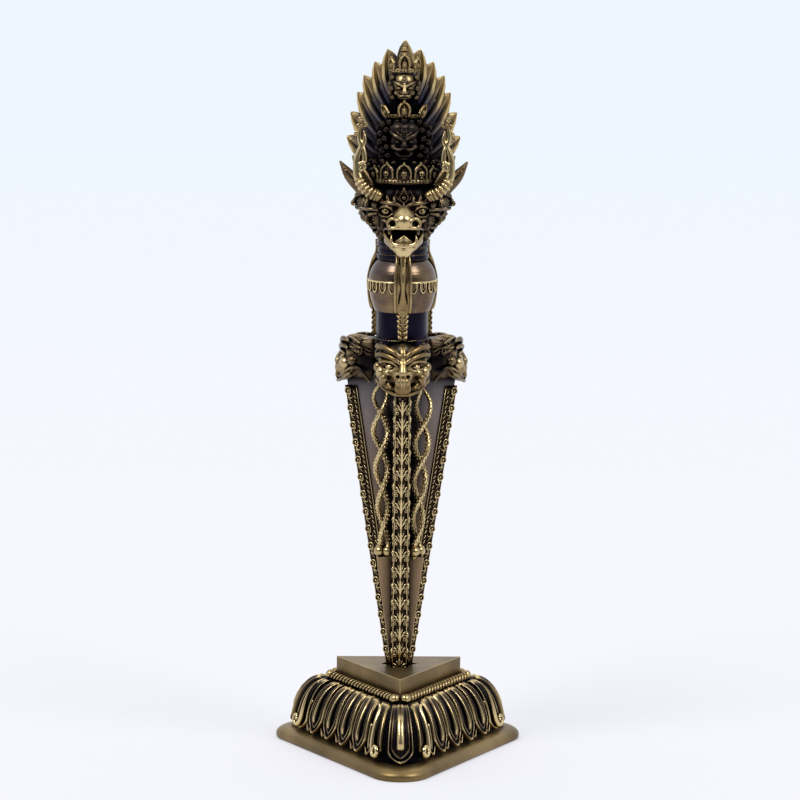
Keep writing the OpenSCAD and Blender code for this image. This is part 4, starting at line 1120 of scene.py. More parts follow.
def scrollKnot(hand):  # volute on the rail's cheek with the leaf that runs up to the next one
    r = rail["scroll"]
    turns = np.radians(np.linspace(-130, 300, 20))
    shrink = 1 - 0.62 * np.linspace(0, 1, len(turns)) ** 2
    curl = [
        (r * 0.92 * k * math.cos(a), 0, r * 0.92 * k * math.sin(a)) for a, k in zip(turns, shrink)
    ]
    stalk = [(-0.9, 0, -4.5), (-0.35, 0, -3.6), (0.15, 0, -2.6), (-0.2, 0, -1.7), (-1.0, 0, -1.0)]
    twig = [(0.1, 0, -2.5), (-0.9, 0, -2.9), (-1.5, 0, -2.2)]
    forms = [
        tube(curl, np.linspace(0.3, 0.22, len(turns)), 8, 1),
        tube(stalk, [0.1, 0.2, 0.26, 0.2, 0.14], 8, 3),
        tube(twig, [0.18, 0.16, 0.1], 6, 3),
        moved(bead(0.42), (0, 0.15 * hand, 0)),
    ]
    return moved(joined(forms), (0, hand * 0.2, 0))


def palmette():  # spine bud with two leaves that curl outwards over paired beads
    bud = [(0, 0, -2.9), (0, 0, -1), (0, 0, 1.2), (0, 0, 2.9)]
    forms = [tube(bud, [0.3, 0.6, 0.5, 0.3], 8, 3)]
    turns = np.radians(np.arange(0, 361, 45))
    for hand in (-1, 1):
        frond = [(0, 0.1, -1.6), (0.1, 0.75, -0.5), (0.12, 1.35, 0.7), (0, 2.0, 1.3)]
        small = [(0, 0.15, 0.2), (0.1, 0.6, 1.2), (0, 0.95, 2.2)]
        frond, small = ([(x, hand * y, z) for x, y, z in line] for line in (frond, small))
        forms += [tube(frond, [0.24, 0.36, 0.32, 0.22], 7, 4), tube(small, [0.2, 0.28, 0.14], 6, 3)]
        for y, z in ((1.75, -1.75), (1.85, -0.45)):
            eye = [(0.05, hand * y + 0.46 * math.cos(a), z + 0.46 * math.sin(a)) for a in turns]
            forms.append(tube(eye, [0.2] * 9, 6, 1))
    return joined(forms)


def railForm():  # the rail, with how much each of its points is lifted and how strongly it wears
    low, high = blade["low"], levels["railTop"]
    drop, half = rail["drop"], rail["wide"] / 2
    cheek = (rail["wide"] - blade["vane"]) / 2 - rail["gap"]
    root = half / math.tan(math.radians(60)) + rail["gap"]
    steps = np.linspace(low, high, 40)
    across = (-half + 0.4, 0, half - 0.4)

    def rowUp(form, first, pitch, count):  # copies that climb along the leaning edge
        return rowOf(form, count, first, (edgeSlope * pitch, 0, pitch))

    front = [[(edgeReach(z) - drop, y, z) for y in across] for z in steps]
    back = [[(max(edgeReach(z) - drop - rail["skin"], root), y, z) for y in across] for z in steps]
    forms = [slab(np.array(front), np.array(back))]
    fields = {0}  # the plain sheets stay dark under the ornament
    for hand in (-1, 1):
        outer, inner = hand * (half - 0.3), hand * (half - cheek)
        rows = []
        for z in steps:
            edge = edgeReach(z) - drop
            inside = max(edgeReach(z) - rail["deep"], root + 0.05)
            rows.append([(x, z) for x in np.linspace(edge, min(inside, edge - 0.3), 4)])
        fields.add(len(forms))
        faces = [np.array([[(x, y, z) for x, z in row] for row in rows]) for y in (outer, inner)]
        forms.append(slab(*faces))
        count = int((high - rail["scrollLow"]) / rail["scrollPitch"]) + 1
        top = high - rail["scroll"] - 0.3
        knot = leaned(scrollKnot(hand), edgeLean)
        first = (edgeReach(top) - rail["scroll"] - 0.1, outer, top)
        forms.append(rowUp(knot, first, -rail["scrollPitch"], count))
        leaf = leaned(stretched(spindle(2.1, 0.52), (1, 0.8, 1)), rail["leafLean"])
        leafLow = rail["leafLow"]
        first = (edgeReach(leafLow) - rail["deep"] + 1.45, hand * (half - 0.22), leafLow)
        forms.append(rowUp(leaf, first, rail["leafPitch"], int((high - leafLow) / rail["leafPitch"])))
        bars = (
            (0.25 - rail["deep"], 0.3, 0.2, (leafLow - 4, 60, 95, high)),
            (0.1 - drop, 0.45, 0.17, (low, 40, 80, high)),
        )
        for out, inset, thick, heights in bars:
            line = [(edgeReach(z) + out, hand * (half - inset), z) for z in heights]
            forms.append(tube(line, [thick] * 4, 8, 3))
    palm = leaned(palmette(), edgeLean)
    first = (edgeReach(low + 3) - 0.42, 0, low + 3)
    forms.append(rowUp(palm, first, rail["palmPitch"], int((high - low) / rail["palmPitch"])))
    plain = [np.full(len(form[0]), number in fields) for number, form in enumerate(forms)]
    plain = np.concatenate(plain)
    lift = np.where(plain, rail["fieldLift"], rail["lift"])
    return joined(forms), lift, np.where(plain, 0, rail["gain"])


def buildRails():
    form, lift, gain = railForm()
    for name, azimuth in corners.items():
        makePiece(
            "edgeRail" + name.capitalize(), turned(form, azimuth), "dagger", "castBrass",
            ["edge_rail_" + name], (2, gain), lift=lift,
        )


buildRails()
print("rails cap the three edges")

# Snakes: two twine down every groove, heads on the ledge, tails under the collar
snake = {
    "girth": 0.95, "tailShare": 0.62, "taperStart": 0.72, "core": 0.9, "turn": 26.8, "low": 74.83,
    "high": 132.9, "turnAt": {"left": 121, "right": 116.7, "back": 119}, "rings": 50,
    "reach": (6.3, 8.7, 52),  # off the axis at the ledge, higher up, and over what height it grows
    "swing": (1.3, 2.5, 45),
    "tail": 9, "tailReach": 1.9, "tailSwing": 0.55,  # the last stretch draws in under the collar
}


def snakeAt(z, azimuth, turnZ):  # where a snake's middle runs at a height
    tail = max(0, 1 - (snake["high"] - z) / snake["tail"]) ** 2
    rise = z - blade["ledge"]
    low, high, over = snake["reach"]
    reach = mix(low, high, min(1, rise / over)) - snake["tailReach"] * tail
    low, high, over = snake["swing"]
    swing = mix(low, high, min(1, max(0, rise / over))) * (1 - snake["tailSwing"] * tail)
    x, y = polar(reach, azimuth) + polar(swing, 270 + 360 * (z - turnZ) / snake["turn"])
    return x, y, z


def scaleRing():  # ring of pointed scales that lie back along the body
    scale = leaned(stretched(spindle(1.15, 0.8), (0.9, 1, 1)), -24)
    scale = moved(scale, (0.84, 0, 0))
    return joined([turned(scale, 60 * i) for i in range(6)])


def snakeHead():  # blunt head with eyes, pointing down the groove
    clay = Clay((-2.6, -2.6, -5.4), (2.6, 2.6, 1.6), 0.13)
    clay.ball((0, 0, 0), (1.15, 1.15, 1.3))
    clay.ball((0, -0.4, -1.6), (2.1, 1.9, 1.9), 0.4)
    clay.ball((0, -0.2, -3.4), (0.95, 0.85, 1.2), 0.5)
    clay.ball((0.95, -0.95, -2.5), 0.42, 0.1)
    clay.strand([(0.3, -1.1, -1.4), (0.9, -1.2, -1.9), (1.3, -0.9, -2.7)], 0.2, 0.15)
    clay.strand([(0, -1.2, -0.6), (0, -1.4, -2), (0, -1.0, -3.6)], 0.16, 0.15)
    clay.strand([(0.2, -0.75, -4.4), (1.2, -0.5, -3.3), (1.6, -0.2, -2.2)], 0.12, 0.1, cut=True)
    return clay.skin(0)


def buildSnakes():
    ring = element(scaleRing())
    head = snakeHead()
    for side, azimuth in sides.items():
        for letter, shift in (("a", 0), ("b", snake["turn"] / 2)):
            turnZ = snake["turnAt"][side] + shift
            heights = np.linspace(snake["low"] - 1.5, snake["high"], 120)
            path = [snakeAt(z, azimuth, turnZ) for z in heights]
            mesh = bpy.data.meshes.new("snakePath")
            steps = [(i, i + 1) for i in range(len(path) - 1)]
            mesh.from_pydata((np.array(path) * mm).tolist(), steps, [])
            line = element(mesh)
            body = runTree("scaled", {
                "Path": line, "Scale Ring": ring, "Rings": snake["rings"], "Girth": snake["girth"],
                "Tail Girth": snake["girth"] * snake["tailShare"], "Taper Start": snake["taperStart"],
                "Core": snake["core"] * mm, "Half Turn": math.pi / 6,
            }, keep=True)
            bpy.data.objects.remove(line)
            x, y, z = path[0]
            placed = moved(turned(head, azimuth + 90), (x, y, z + 0.2))
            makePiece(
                "snake" + side.capitalize() + letter.upper(), joined([body, placed]), "dagger",
                "castBrass", ["snake_%s_%s" % (side, letter)], (2, 2.6),
                [((x, y, z - 2), 2.8, 0.55)], -0.1,
            )
    bpy.data.objects.remove(ring)


buildSnakes()
print("six snakes twine in the grooves")


# Makara: three sea monsters under the hilt, each biting on the edge of a vane.
# Written looking at it: x to its side, y towards the axis, z up from the blade's top
makara = {
    "low": (-11.5, -27.4, -5), "high": (11.5, -7.5, 14), "grain": 0.21,
    "rubbed": (  # place, reach and amount: snout, balls, brow, eyes and the dark behind the ear
        ((0, -25, 3), 4, 0.2), ((7.4, -18, 4.4), 3.4, 0.3), ((-7.4, -18, 4.4), 3.4, 0.3),
        ((0, -22, 11), 4, 0.12), ((4.1, -21, 6.5), 1.9, 0.3), ((-4.1, -21, 6.5), 1.9, 0.3),
        ((9, -9.5, 4.5), 4.2, -0.32), ((-9, -9.5, 4.5), 4.2, -0.32),
    ),
    "looks": {
        "front": ("castBrass", "bright_brass", -0.06), "right": ("castBronze", "petal_bronze", 0.0),
        "left": ("castBronze", "petal_bronze", 0.0),
    },
}


def makaraBody(clay):
    clay.ball((0, -13, 5.5), (8.6, 9.0, 7.8))
    clay.strand([(0, -14, 5), (0, -18, 4.4), (0, -22, 3.2)], [7, 5.6, 3.6], 1)
    clay.strand(
        [(0, -15, 12.4), (0, -18.5, 12.6), (0, -21.2, 11.6), (0, -22.8, 8.8)], [1.3, 1.3, 1.4, 1.1], 0.8,
    )
    # cheeks and jaw down to the lip
    clay.ball((5.2, -18.6, 1.0), (2.8, 2.6, 2.4), 0.6)
    clay.strand([(7.8, -14.6, 1.8), (5.9, -18.2, 0.2), (4.0, -21.6, -0.8)], [1.4, 1.4, 1.2], 0.6)
    clay.ball((6.8, -15.8, 8.6), (1.6, 2.6, 2.2), 0.6)
    clay.ball((4.0, -20.2, 6.4), (3.0, 2.0, 1.9), 0.4, cut=True)
    clay.ball((4.1, -20.4, 6.5), (1.85, 1.5, 1.15), 0.1)
    clay.ball((6.0, -18.6, 2.6), (2.1, 2.6, 2.0), 0.5)
    clay.ball((5.0, -20.6, 4.4), (1.8, 1.5, 1.2), 0.5)


def makaraBrows(clay):
    rows = [
        ([(0.5, -22.6, 9.4), (2.8, -22.2, 11.4), (6.2, -19.8, 12.9), (9.0, -16.4, 12.7)], 0.95),
        ([(0.7, -23.4, 7.8), (3.4, -22.5, 9.6), (6.6, -20.0, 10.6), (9.2, -16.8, 10.2)], 0.85),
        ([(1.4, -23.2, 6.6), (3.4, -22.4, 8.0), (6.0, -20.6, 8.4), (8.0, -18.4, 7.6)], 0.5),
        ([(2.2, -22.6, 5.7), (4.2, -22.0, 5.2), (6.4, -20.2, 5.7)], 0.42),
    ]
    for points, thick in rows:
        clay.strand(points, [thick * 0.8] + [thick] * (len(points) - 2) + [thick * 0.55], 0.25)
    for lift in (0.0, 1.7, 3.4):
        clay.strand(
            [(6.2, -17.6, 13.4 - lift * 0.2), (8.4, -14.6, 13.2 - lift), (9.4, -11.6, 12 - lift)],
            [0.5, 0.6, 0.35], 0.2,
        )


def makaraSnout(clay):
    clay.strand([(0, -22.8, 8.6), (0, -24.2, 6.6), (0, -24.9, 4.9)], [1.0, 1.15, 1.5], 0.4)
    clay.ball((1.9, -24.4, 4.4), (1.35, 1.2, 1.15), 0.4)
    clay.hoop((1.85, -25.1, 3.9), (0.25, -1, -0.25), 1.0, 0.34, 0.15)
    clay.ball((1.8, -25.9, 3.6), (0.75, 1.3, 0.7), 0.1, cut=True)
    clay.ball((0, -24.3, 1.4), (2.7, 1.8, 2.2), 0.3)
    clay.ball((0, -24.6, -0.6), (2.9, 1.3, 2.2), 0.4)
    clay.ball((6.2, -20.2, 2.2), (1.6, 1.5, 2.0), 0.3)
    clay.strand([(0.4, -25.9, 2.9), (0.35, -26.2, 1.4), (0.3, -25.6, -0.4)], [0.35, 0.45, 0.3], 0.3)
    clay.ball((3.7, -22.6, 1.2), (0.9, 0.9, 1.5), 0.2, cut=True)
    clay.strand(
        [(5.4, -21.4, 1.2), (3.6, -23.4, 0.2), (2.6, -24.5, -0.7)], [0.5, 0.5, 0.3], 0.15, cut=True,
    )
    clay.strand([
        (9.3, -13.6, 1.6), (8.4, -16.8, 0.8), (6.8, -19.6, -0.9), (4.4, -22.4, -2.2), (2.2, -24.4, -2.7),
        (0, -25.0, -2.8),
    ], [0.6, 0.6, 0.55, 0.55, 0.55, 0.5], 0.25)


def makaraManes(clay):
    # snout balls, ear and curls that show on the two that are seen from the side
    clay.ball((7.2, -18.4, 4.4), (2.0, 2.2, 2.1), 0.2)
    clay.ball((8.3, -14.9, 5.6), (1.7, 1.8, 1.8), 0.2)
    clay.hoop((8.6, -12.2, 9.4), (1, -0.3, 0), 1.4, 0.42, 0.15)
    clay.ball((8.7, -12.2, 9.4), (0.6, 0.8, 0.8), 0.1)
    clay.ball((9.6, -13.4, -0.4), (2.6, 2.5, 3.4), 0.2, cut=True)
    clay.strand([
        (8.9, -7.9, -1.2), (9.2, -10.0, 1.8), (9.1, -12.8, 3.4), (8.6, -15.6, 3.0), (7.0, -19.0, 0.8),
        (5.2, -22.0, -0.8),
    ], [0.5, 0.6, 0.62, 0.6, 0.55, 0.45], 0.15)
    for k in range(5):
        clay.strand([
            (9.2 - 0.4 * k, -15.6 + 0.9 * k, 10.6 + 0.8 * k), (8.4 - 0.3 * k, -11.6, 9.6 + 0.9 * k),
            (6.8, -8.6, 7.4 + 1.6 * k),
        ], [0.34, 0.42, 0.3], 0.12)


def makaraForm():
    clay = Clay(makara["low"], makara["high"], makara["grain"])
    for shape in (makaraBody, makaraBrows, makaraSnout, makaraManes):
        shape(clay)
    tan60 = math.tan(math.radians(60))
    # stays in its third of the collar, off the collar itself and under its top
    clay.trim(lambda x, y, z: np.maximum((x + y * tan60) / 2 + 0.05, 9.55 - np.hypot(x, y)))
    clay.trim(lambda x, y, z: np.maximum(z - 13.7, -3.95 - z))
    # leaves room for the vane's edge between its lips
    clay.trim(lambda x, y, z: -np.maximum(np.maximum(np.abs(x) - 2.95, z - 0.1), -23.6 - y))
    return clay.skin(levels["bladeTop"])


def buildMakaras():
    form = makaraForm()
    for name, (finish, slotName, lift) in makara["looks"].items():
        turn = corners[name] + 90
        spots = [
            (turnedSpot(centre, turn) + (0, 0, levels["bladeTop"]), reach, amount)
            for centre, reach, amount in makara["rubbed"]
        ]
        makePiece(
            "makara" + name.capitalize(), turned(form, turn), "dagger", finish,
            ["makara_" + name], (7, 1.0), spots, lift, closed=True,
        )


buildMakaras()
print("makaras bite on the blade")

# Vase: the turned grip stays as it is and gets a belt with hanging petals
grip = {
    "radius": 11.75, "footRadius": 9.6, "mouthRadius": 8.4, "bellyShare": 0.58, "swell": 2.2,
    "beltShare": 0.6, "beltThick": 0.34, "pendants": 20, "size": 1.12,
}


def vaseRadius(z):  # the grip's outline, as it was turned
    share = (z - levels["vaseFoot"]) / (levels["vaseTop"] - levels["vaseFoot"])
    if share < grip["bellyShare"]:
        t = 1 - share / grip["bellyShare"]
        return mix(grip["radius"], grip["footRadius"], t ** grip["swell"])
    t = (share - grip["bellyShare"]) / (1 - grip["bellyShare"])
    return mix(grip["radius"], grip["mouthRadius"], t ** grip["swell"])


def pendant():  # a hanging petal: a narrow U with a smaller one inside it
    forms = []
    for wide, long, thick in ((0.98, 3.2, 0.27), (0.42, 2.1, 0.17)):
        left, right = [[(0.1, y * wide, 0), (0.1, y * wide * 0.95, -long * 0.6)] for y in (-1, 1)]
        forms.append(tube(left + [(0, 0, -long)] + right[::-1], [thick] * 5, 7, 4))
    return joined(forms)


# Staves: straps that run down over the grip, each ending in a plaited tail
stave = {"low": 147.2, "high": 181.0, "grain": 0.18, "bed": (146, 182)}  # bed: stretch of grip under it


def gripBed(z):  # how far the turned grip reaches out under the straps
    heights = np.linspace(*stave["bed"], 73)
    reach = [max(vaseRadius(h), 9.0 if h > levels["vaseTop"] else 8.95) for h in heights]
    return np.interp(np.clip(z.ravel(), *stave["bed"]), heights, reach).reshape(z.shape)


def staveForm():
    clay = Clay((-3.4, -14.6, stave["low"]), (3.4, -8.6, stave["high"]), stave["grain"])
    path = [
        (180.9, 8.75, 2.3), (177, 8.8, 2.2), (173.5, 10.2, 2.5), (168, 11.6, 2.95), (163, 11.5, 3.0),
        (159, 11.0, 2.9), (157, 10.6, 2.6),
    ]
    line, width = smoothLine([(0, -r, z) for z, r, _ in path], [w for _, _, w in path], 6)
    for place, wide in zip(line, width):
        clay.ball(tuple(place), (wide, 0.85, 0.9), 0.5)
    clay.strand([(w * 0.92, -r - 0.55, z) for z, r, w in path], [0.42] * len(path), 0.2)
    clay.ball((0, -10.9, 157.4), (1.6, 1.1, 1.1), 0.3)
    groove = [
        (1.05, 176.5, 9.5), (1.3, 172, 11.5), (1.25, 168.5, 12.4), (0.75, 165.6, 12.6),
        (1.2, 162.4, 12.1), (1.5, 159.6, 11.6),
    ]
    clay.strand([(x, -r, z) for x, z, r in groove], [0.2, 0.3, 0.32, 0.3, 0.32, 0.2], 0.15, cut=True)
    clay.strand(
        [(0, -9.6, 179.4), (0, -10.5, 174), (0, -12.2, 169), (0, -12.1, 163), (0, -11.3, 158.5)],
        [0.4, 0.5, 0.6, 0.6, 0.4], 0.5,
    )
    for k in range(6):
        z = 156.6 - 1.75 * k
        clay.strand(
            [(0.1, -10.6, z - 1.0), (0.9, -11.1, z), (1.9 - 0.12 * k, -10.7, z + 1.0)],
            [0.5, 0.62, 0.42], 0.15,
        )
    clay.strand([(0, -10.2, 158), (0, -10.0, 148)], [1.6, 1.2], 0.4)
    clay.trim(lambda x, y, z: np.maximum(z - stave["high"], stave["low"] - z))
    clay.trim(lambda x, y, z: gripBed(z) + 0.08 - np.hypot(x, y))
    return clay.skin(0)


def buildGrip():
    belt = mix(levels["vaseFoot"], levels["vaseTop"], grip["beltShare"])
    radius = vaseRadius(belt) + 0.05
    count = grip["pendants"]
    hanging = ringOf(pendant(), count, radius, belt - 0.2, 0, 360 / count, grip["size"])
    ring = levelBand(radius, belt, grip["beltThick"], 0, 360)
    makePiece(
        "gripBelt", joined([hanging, ring]), "dagger", "castBrass", (), (2, 2.5),
        lift=0.1,
    )
    form = staveForm()
    for name, azimuth in corners.items():
        makePiece(
            "stave" + name.capitalize(), turned(form, azimuth + 90), "dagger",
            "castBrass", ["stave_" + name], (8, 1.1), lift=0.05, closed=True,
        )


buildGrip()
print("grip has its belt and straps")

# Heads. Points are to the figure's left, towards the viewer (minus) and up from the neck
coreLine = {  # height over the neck and radius of the core that the heads are seated on
    0: 8.6, 5: 9.4, 12: 10.3, 21.5: 10.4, 25.5: 8.2, 30: 6, 41: 5.9, 46: 4.7, 56: 4.1, 59.5: 1.4,
}


def offCore(x, y, z):  # keeps a casting off the turned core that it is seated on
    core = np.interp(z.ravel(), list(coreLine), list(coreLine.values())).reshape(z.shape)
    return np.where((z >= 0) & (z <= max(coreLine)), core + 0.06 - np.hypot(x, y), -3.0)


def wedge(halfAngle, gap):  # keeps a casting inside its slice round the core
    edge = math.radians(halfAngle)
    return lambda x, y, z: x * math.cos(edge) + y * math.sin(edge) + gap


def castOnCore(name, clay, finish, replaced, wear, spots=(), lift=0.0):
    clay.trim(offCore)
    spots = [((x, y, z + levels["head"]), reach, amount) for (x, y, z), reach, amount in spots]
    makePiece(
        name, clay.skin(levels["head"]), "dagger", finish, replaced, wear, spots, lift,
        closed=True,
    )


def bullSkull(clay):
    clay.ball((0, -5.5, 13.0), (9.4, 7.2, 7.2))
    clay.ball((3.6, -8.6, 15.6), (3.6, 3.2, 3.6), 0.8)
    clay.strand([(0, -9, 10.5), (0, -13.6, 9.4), (0, -16.4, 7.8)], [4.6, 4.0, 3.3], 0.8)
    clay.ball((0, -16.0, 7.0), (5.4, 2.8, 2.4), 0.8)
    clay.strand([(7.6, -8.4, 11.5), (7.4, -9.6, 8.5), (6.6, -10.4, 5.4)], [2.0, 1.8, 1.3], 0.6)
    for y, z, wide in ((-17.7, 9.7, 2.3), (-16.7, 10.9, 2.2), (-15.6, 11.9, 2.0), (-14.4, 12.9, 1.7)):
        clay.strand(
            [(wide, y + 0.9, z - 0.6), (wide * 0.5, y + 0.1, z), (0, y, z + 0.1)], [0.3, 0.42, 0.42], 0.2,
        )


def bullNose(clay):
    clay.hoop((3.95, -18.1, 7.5), (0.25, -1, 0.05), 1.65, 0.55, 0.2)
    clay.ball((3.95, -18.4, 7.5), (1.15, 2.2, 1.15), 0.15, cut=True)
    clay.strand([(0, -18.7, 8.6), (0, -19.0, 7.2), (0, -18.6, 5.9)], [0.5, 0.6, 0.5], 0.4)
    clay.strand(
        [(0, -18.5, 5.9), (1.8, -18.3, 6.0), (4.8, -17.6, 5.7), (6.2, -14.6, 5.4), (6.6, -11, 4.4)],
        [0.75, 0.7, 0.6, 0.5, 0.45], 0.25,
    )
    clay.strand([(5.8, -17.0, 7.6), (7.0, -15.6, 8.4), (7.6, -13.4, 8.0)], [0.3, 0.55, 0.3], 0.2)


def bullEyes(clay):
    clay.ball((6.0, -13.4, 11.1), (2.5, 2.2, 1.9), 0.3, cut=True)
    clay.ball((6.0, -11.9, 11.1), 1.7, 0.1)
    clay.ball((6.05, -13.6, 11.1), 0.5, 0.05, cut=True)
    clay.strand(
        [(3.6, -14.0, 11.0), (4.8, -14.3, 12.6), (6.8, -13.4, 12.9), (8.6, -11.4, 11.8)],
        [0.36, 0.45, 0.45, 0.3], 0.15,
    )
    clay.strand(
        [(3.7, -14.4, 10.4), (5.6, -14.3, 9.2), (7.8, -12.8, 9.5), (8.7, -11.4, 10.8)],
        [0.3, 0.4, 0.4, 0.25], 0.15,
    )
    brow = [
        (0.9, -14.6, 12.8), (2.6, -14.7, 13.7), (4.8, -14.4, 14.1), (7.2, -12.8, 14.2),
        (9.2, -10.4, 15.0), (10.2, -9.2, 16.4),
    ]
    clay.strand(brow, [0.6, 0.75, 0.72, 0.7, 0.55, 0.25], 0.25)
    for root, tip in (
        ((3.2, -14.4, 14.1), (2.9, -13.0, 17.0)), ((5.2, -13.9, 14.3), (5.6, -12.4, 17.3)),
        ((7.4, -12.4, 14.6), (8.3, -10.8, 17.4)),
    ):
        bend = tuple(mix(a, b, 0.55) + c for a, b, c in zip(root, tip, (0.35, -0.3, 0)))
        clay.strand([root, bend, tip], [0.62, 0.5, 0.14], 0.2)


def bullForehead(clay):
    clay.hoop((0, -12.9, 15.6), (0, -1, 0.35), 1.5, 0.36, 0.12)
    clay.ball((0, -12.9, 15.6), (0.95, 0.8, 0.8), 0.1)
    clay.strand([(0.9, -12.6, 17.0), (0, -12.5, 18.6), (0, -12.0, 19.6)], [0.45, 0.4, 0.15], 0.15)
    clay.strand([(0, -14.6, 12.9), (0, -13.9, 14.0)], [0.6, 0.4], 0.2)
    clay.strand([(2.0, -13.3, 15.0), (2.8, -12.8, 16.6), (2.0, -12.2, 18.4)], [0.3, 0.34, 0.15], 0.12)


def bullMouth(clay):
    clay.ball((0, -16.6, 3.4), (4.9, 5.5, 2.1), 0.2, cut=True)
    clay.strand([(4.7, -16.9, 5.4), (4.9, -17.3, 3.8), (4.5, -17.1, 1.9)], [0.62, 0.45, 0.12], 0.1)


def bullEars(clay):
    for height, reach in ((0.0, 1.0), (1.0, 0.8)):
        clay.strand([
            (14.6 * reach, -4.6, 18.2 + 1.6 * height), (18.6 * reach, -4.2, 22.6 + 2 * height),
            (21.9 * reach, -3.6, 27.3 + 2 * height),
        ], [2.3, 2.0, 0.4], 0.4)
    clay.strand(
        [(11.5, -7.4, 19.2), (15.4, -6.8, 22.0), (20.0, -5.2, 26.0)], [0.5, 0.6, 0.2], 0.1, cut=True,
    )
    for k in range(4):
        clay.strand(
            [(12.5 + 1.6 * k, -6.6, 17.6 + 1.6 * k), (14.2 + 1.6 * k, -6.4, 20.4 + 1.3 * k)],
            [0.3, 0.16], 0.1,
        )


bull = {"low": (-12, -20, 2), "high": (12, -5, 21), "grain": 0.18, "half": 35.8, "mouth": 3.6}


def buildBull():
    clay = Clay(bull["low"], bull["high"], bull["grain"])
    for shape in (bullSkull, bullNose, bullEyes, bullForehead, bullMouth):
        shape(clay)
    # the side faces begin where this slice ends, the jaw under this level
    clay.trim(wedge(bull["half"], 0.05))
    clay.trim(lambda x, y, z: bull["mouth"] - z)
    spots = [((0, -16.5, 9.4), 3.4, 0.42), ((0, -18.6, 6), 3.2, 0.3)]
    for hand in (-1, 1):
        spots += [
            ((hand * 4, -18.2, 7.3), 2.4, 0.3), ((hand * 5, -14.2, 14), 2.2, 0.14),
            ((hand * 6, -13, 11.1), 1.8, 0.3), ((hand * 4.2, -11.6, 17.4), 2.6, -0.3),
            ((hand * 8.2, -9.5, 9), 3.4, -0.16),
        ]
    castOnCore("bullHead", clay, "castBronze", ["bull_head"], (7, 1.5), spots, -0.08)


buildBull()


jaw = {
    "low": (-8, -19.8, -5.6), "high": (8, -5, 7), "grain": 0.19, "rim": 0.72,
    "rimLow": -0.4, "rimFront": -18.6, "rimSlope": 0.62, "middle": -12.2, "wide": 6.2, "deep": 6.3,
}


def jawRim(y):  # the bowl's rim rises towards the head
    return jaw["rimLow"] + (y - jaw["rimFront"]) * jaw["rimSlope"]


def buildJaw():
    clay = Clay(jaw["low"], jaw["high"], jaw["grain"])
    clay.ball((0, -12.2, 1.2), (6.7, 6.8, 3.6))
    clay.ball((0, -13.0, -1.0), (4.4, 5.2, 2.8), 1.4)
    clay.ball((0, -14.6, -2.8), (2.6, 2.8, 2.2), 1.0)
    clay.ball((0, -12.2, 2.6), (5.4, 5.5, 4.2), 0.2, cut=True)
    clay.trim(lambda x, y, z: z - jawRim(y))
    turns = np.radians(range(0, 101, 20))
    rim = [(jaw["wide"] * math.sin(a), jaw["middle"] - jaw["deep"] * math.cos(a)) for a in turns]
    clay.strand([(x, y, jawRim(y)) for x, y in rim], jaw["rim"], 0.2)
    clay.ball((0, -15.2, -0.9), (3.6, 3.4, 1.3), 0.4)
    clay.strand([(3.0, -15.8, 0.2), (1.4, -16.6, 1.5), (0, -16.9, 3.1)], [0.5, 0.7, 0.3], 0.4)
    clay.ball((0, -16.0, 0.7), (2.9, 1.4, 1.5), 0.5)
    clay.strand([(3.9, -17.3, -0.2), (4.3, -17.6, 1.6), (4.2, -17.2, 3.6)], [0.7, 0.5, 0.12], 0.12)
    for k in range(3):
        clay.strand([
            (0.5 + 0.9 * k, -17.2 + 0.5 * k, -2.4 + 0.15 * k),
            (1.3 + 0.9 * k, -17.0 + 0.5 * k, -3.0 + 0.2 * k),
        ], [0.4, 0.25], 0.15)
    clay.trim(wedge(bull["half"], 0.05))
    clay.trim(lambda x, y, z: -5.1 - z)
    clay.trim(lambda x, y, z: np.where(z < 0, 9.1 - np.hypot(x, y), -3.0))
    spots = [((0, -17.5, -2), 4.2, 0.22), ((0, -18.6, 0.2), 3.6, 0.2), ((0, -14.2, 2.5), 2.6, -0.3)]
    castOnCore("bullJaw", clay, "castBrass", ["bull_jaw"], (7, 1.0), spots, 0.05)


buildJaw()

horn = {
    "path": [
        (8.9, -11.4, 16.2, 2.3), (11.4, -11.4, 17.4, 2.2), (13.8, -11.1, 19.4, 2.05),
        (15.4, -10.6, 22, 1.9), (16, -10, 25, 1.7), (15.6, -9.5, 28.2, 1.5),
    ],
    "rings": 6, "low": (6.5, -15, 13), "high": (19.5, -4.5, 44), "grain": 0.17,
}


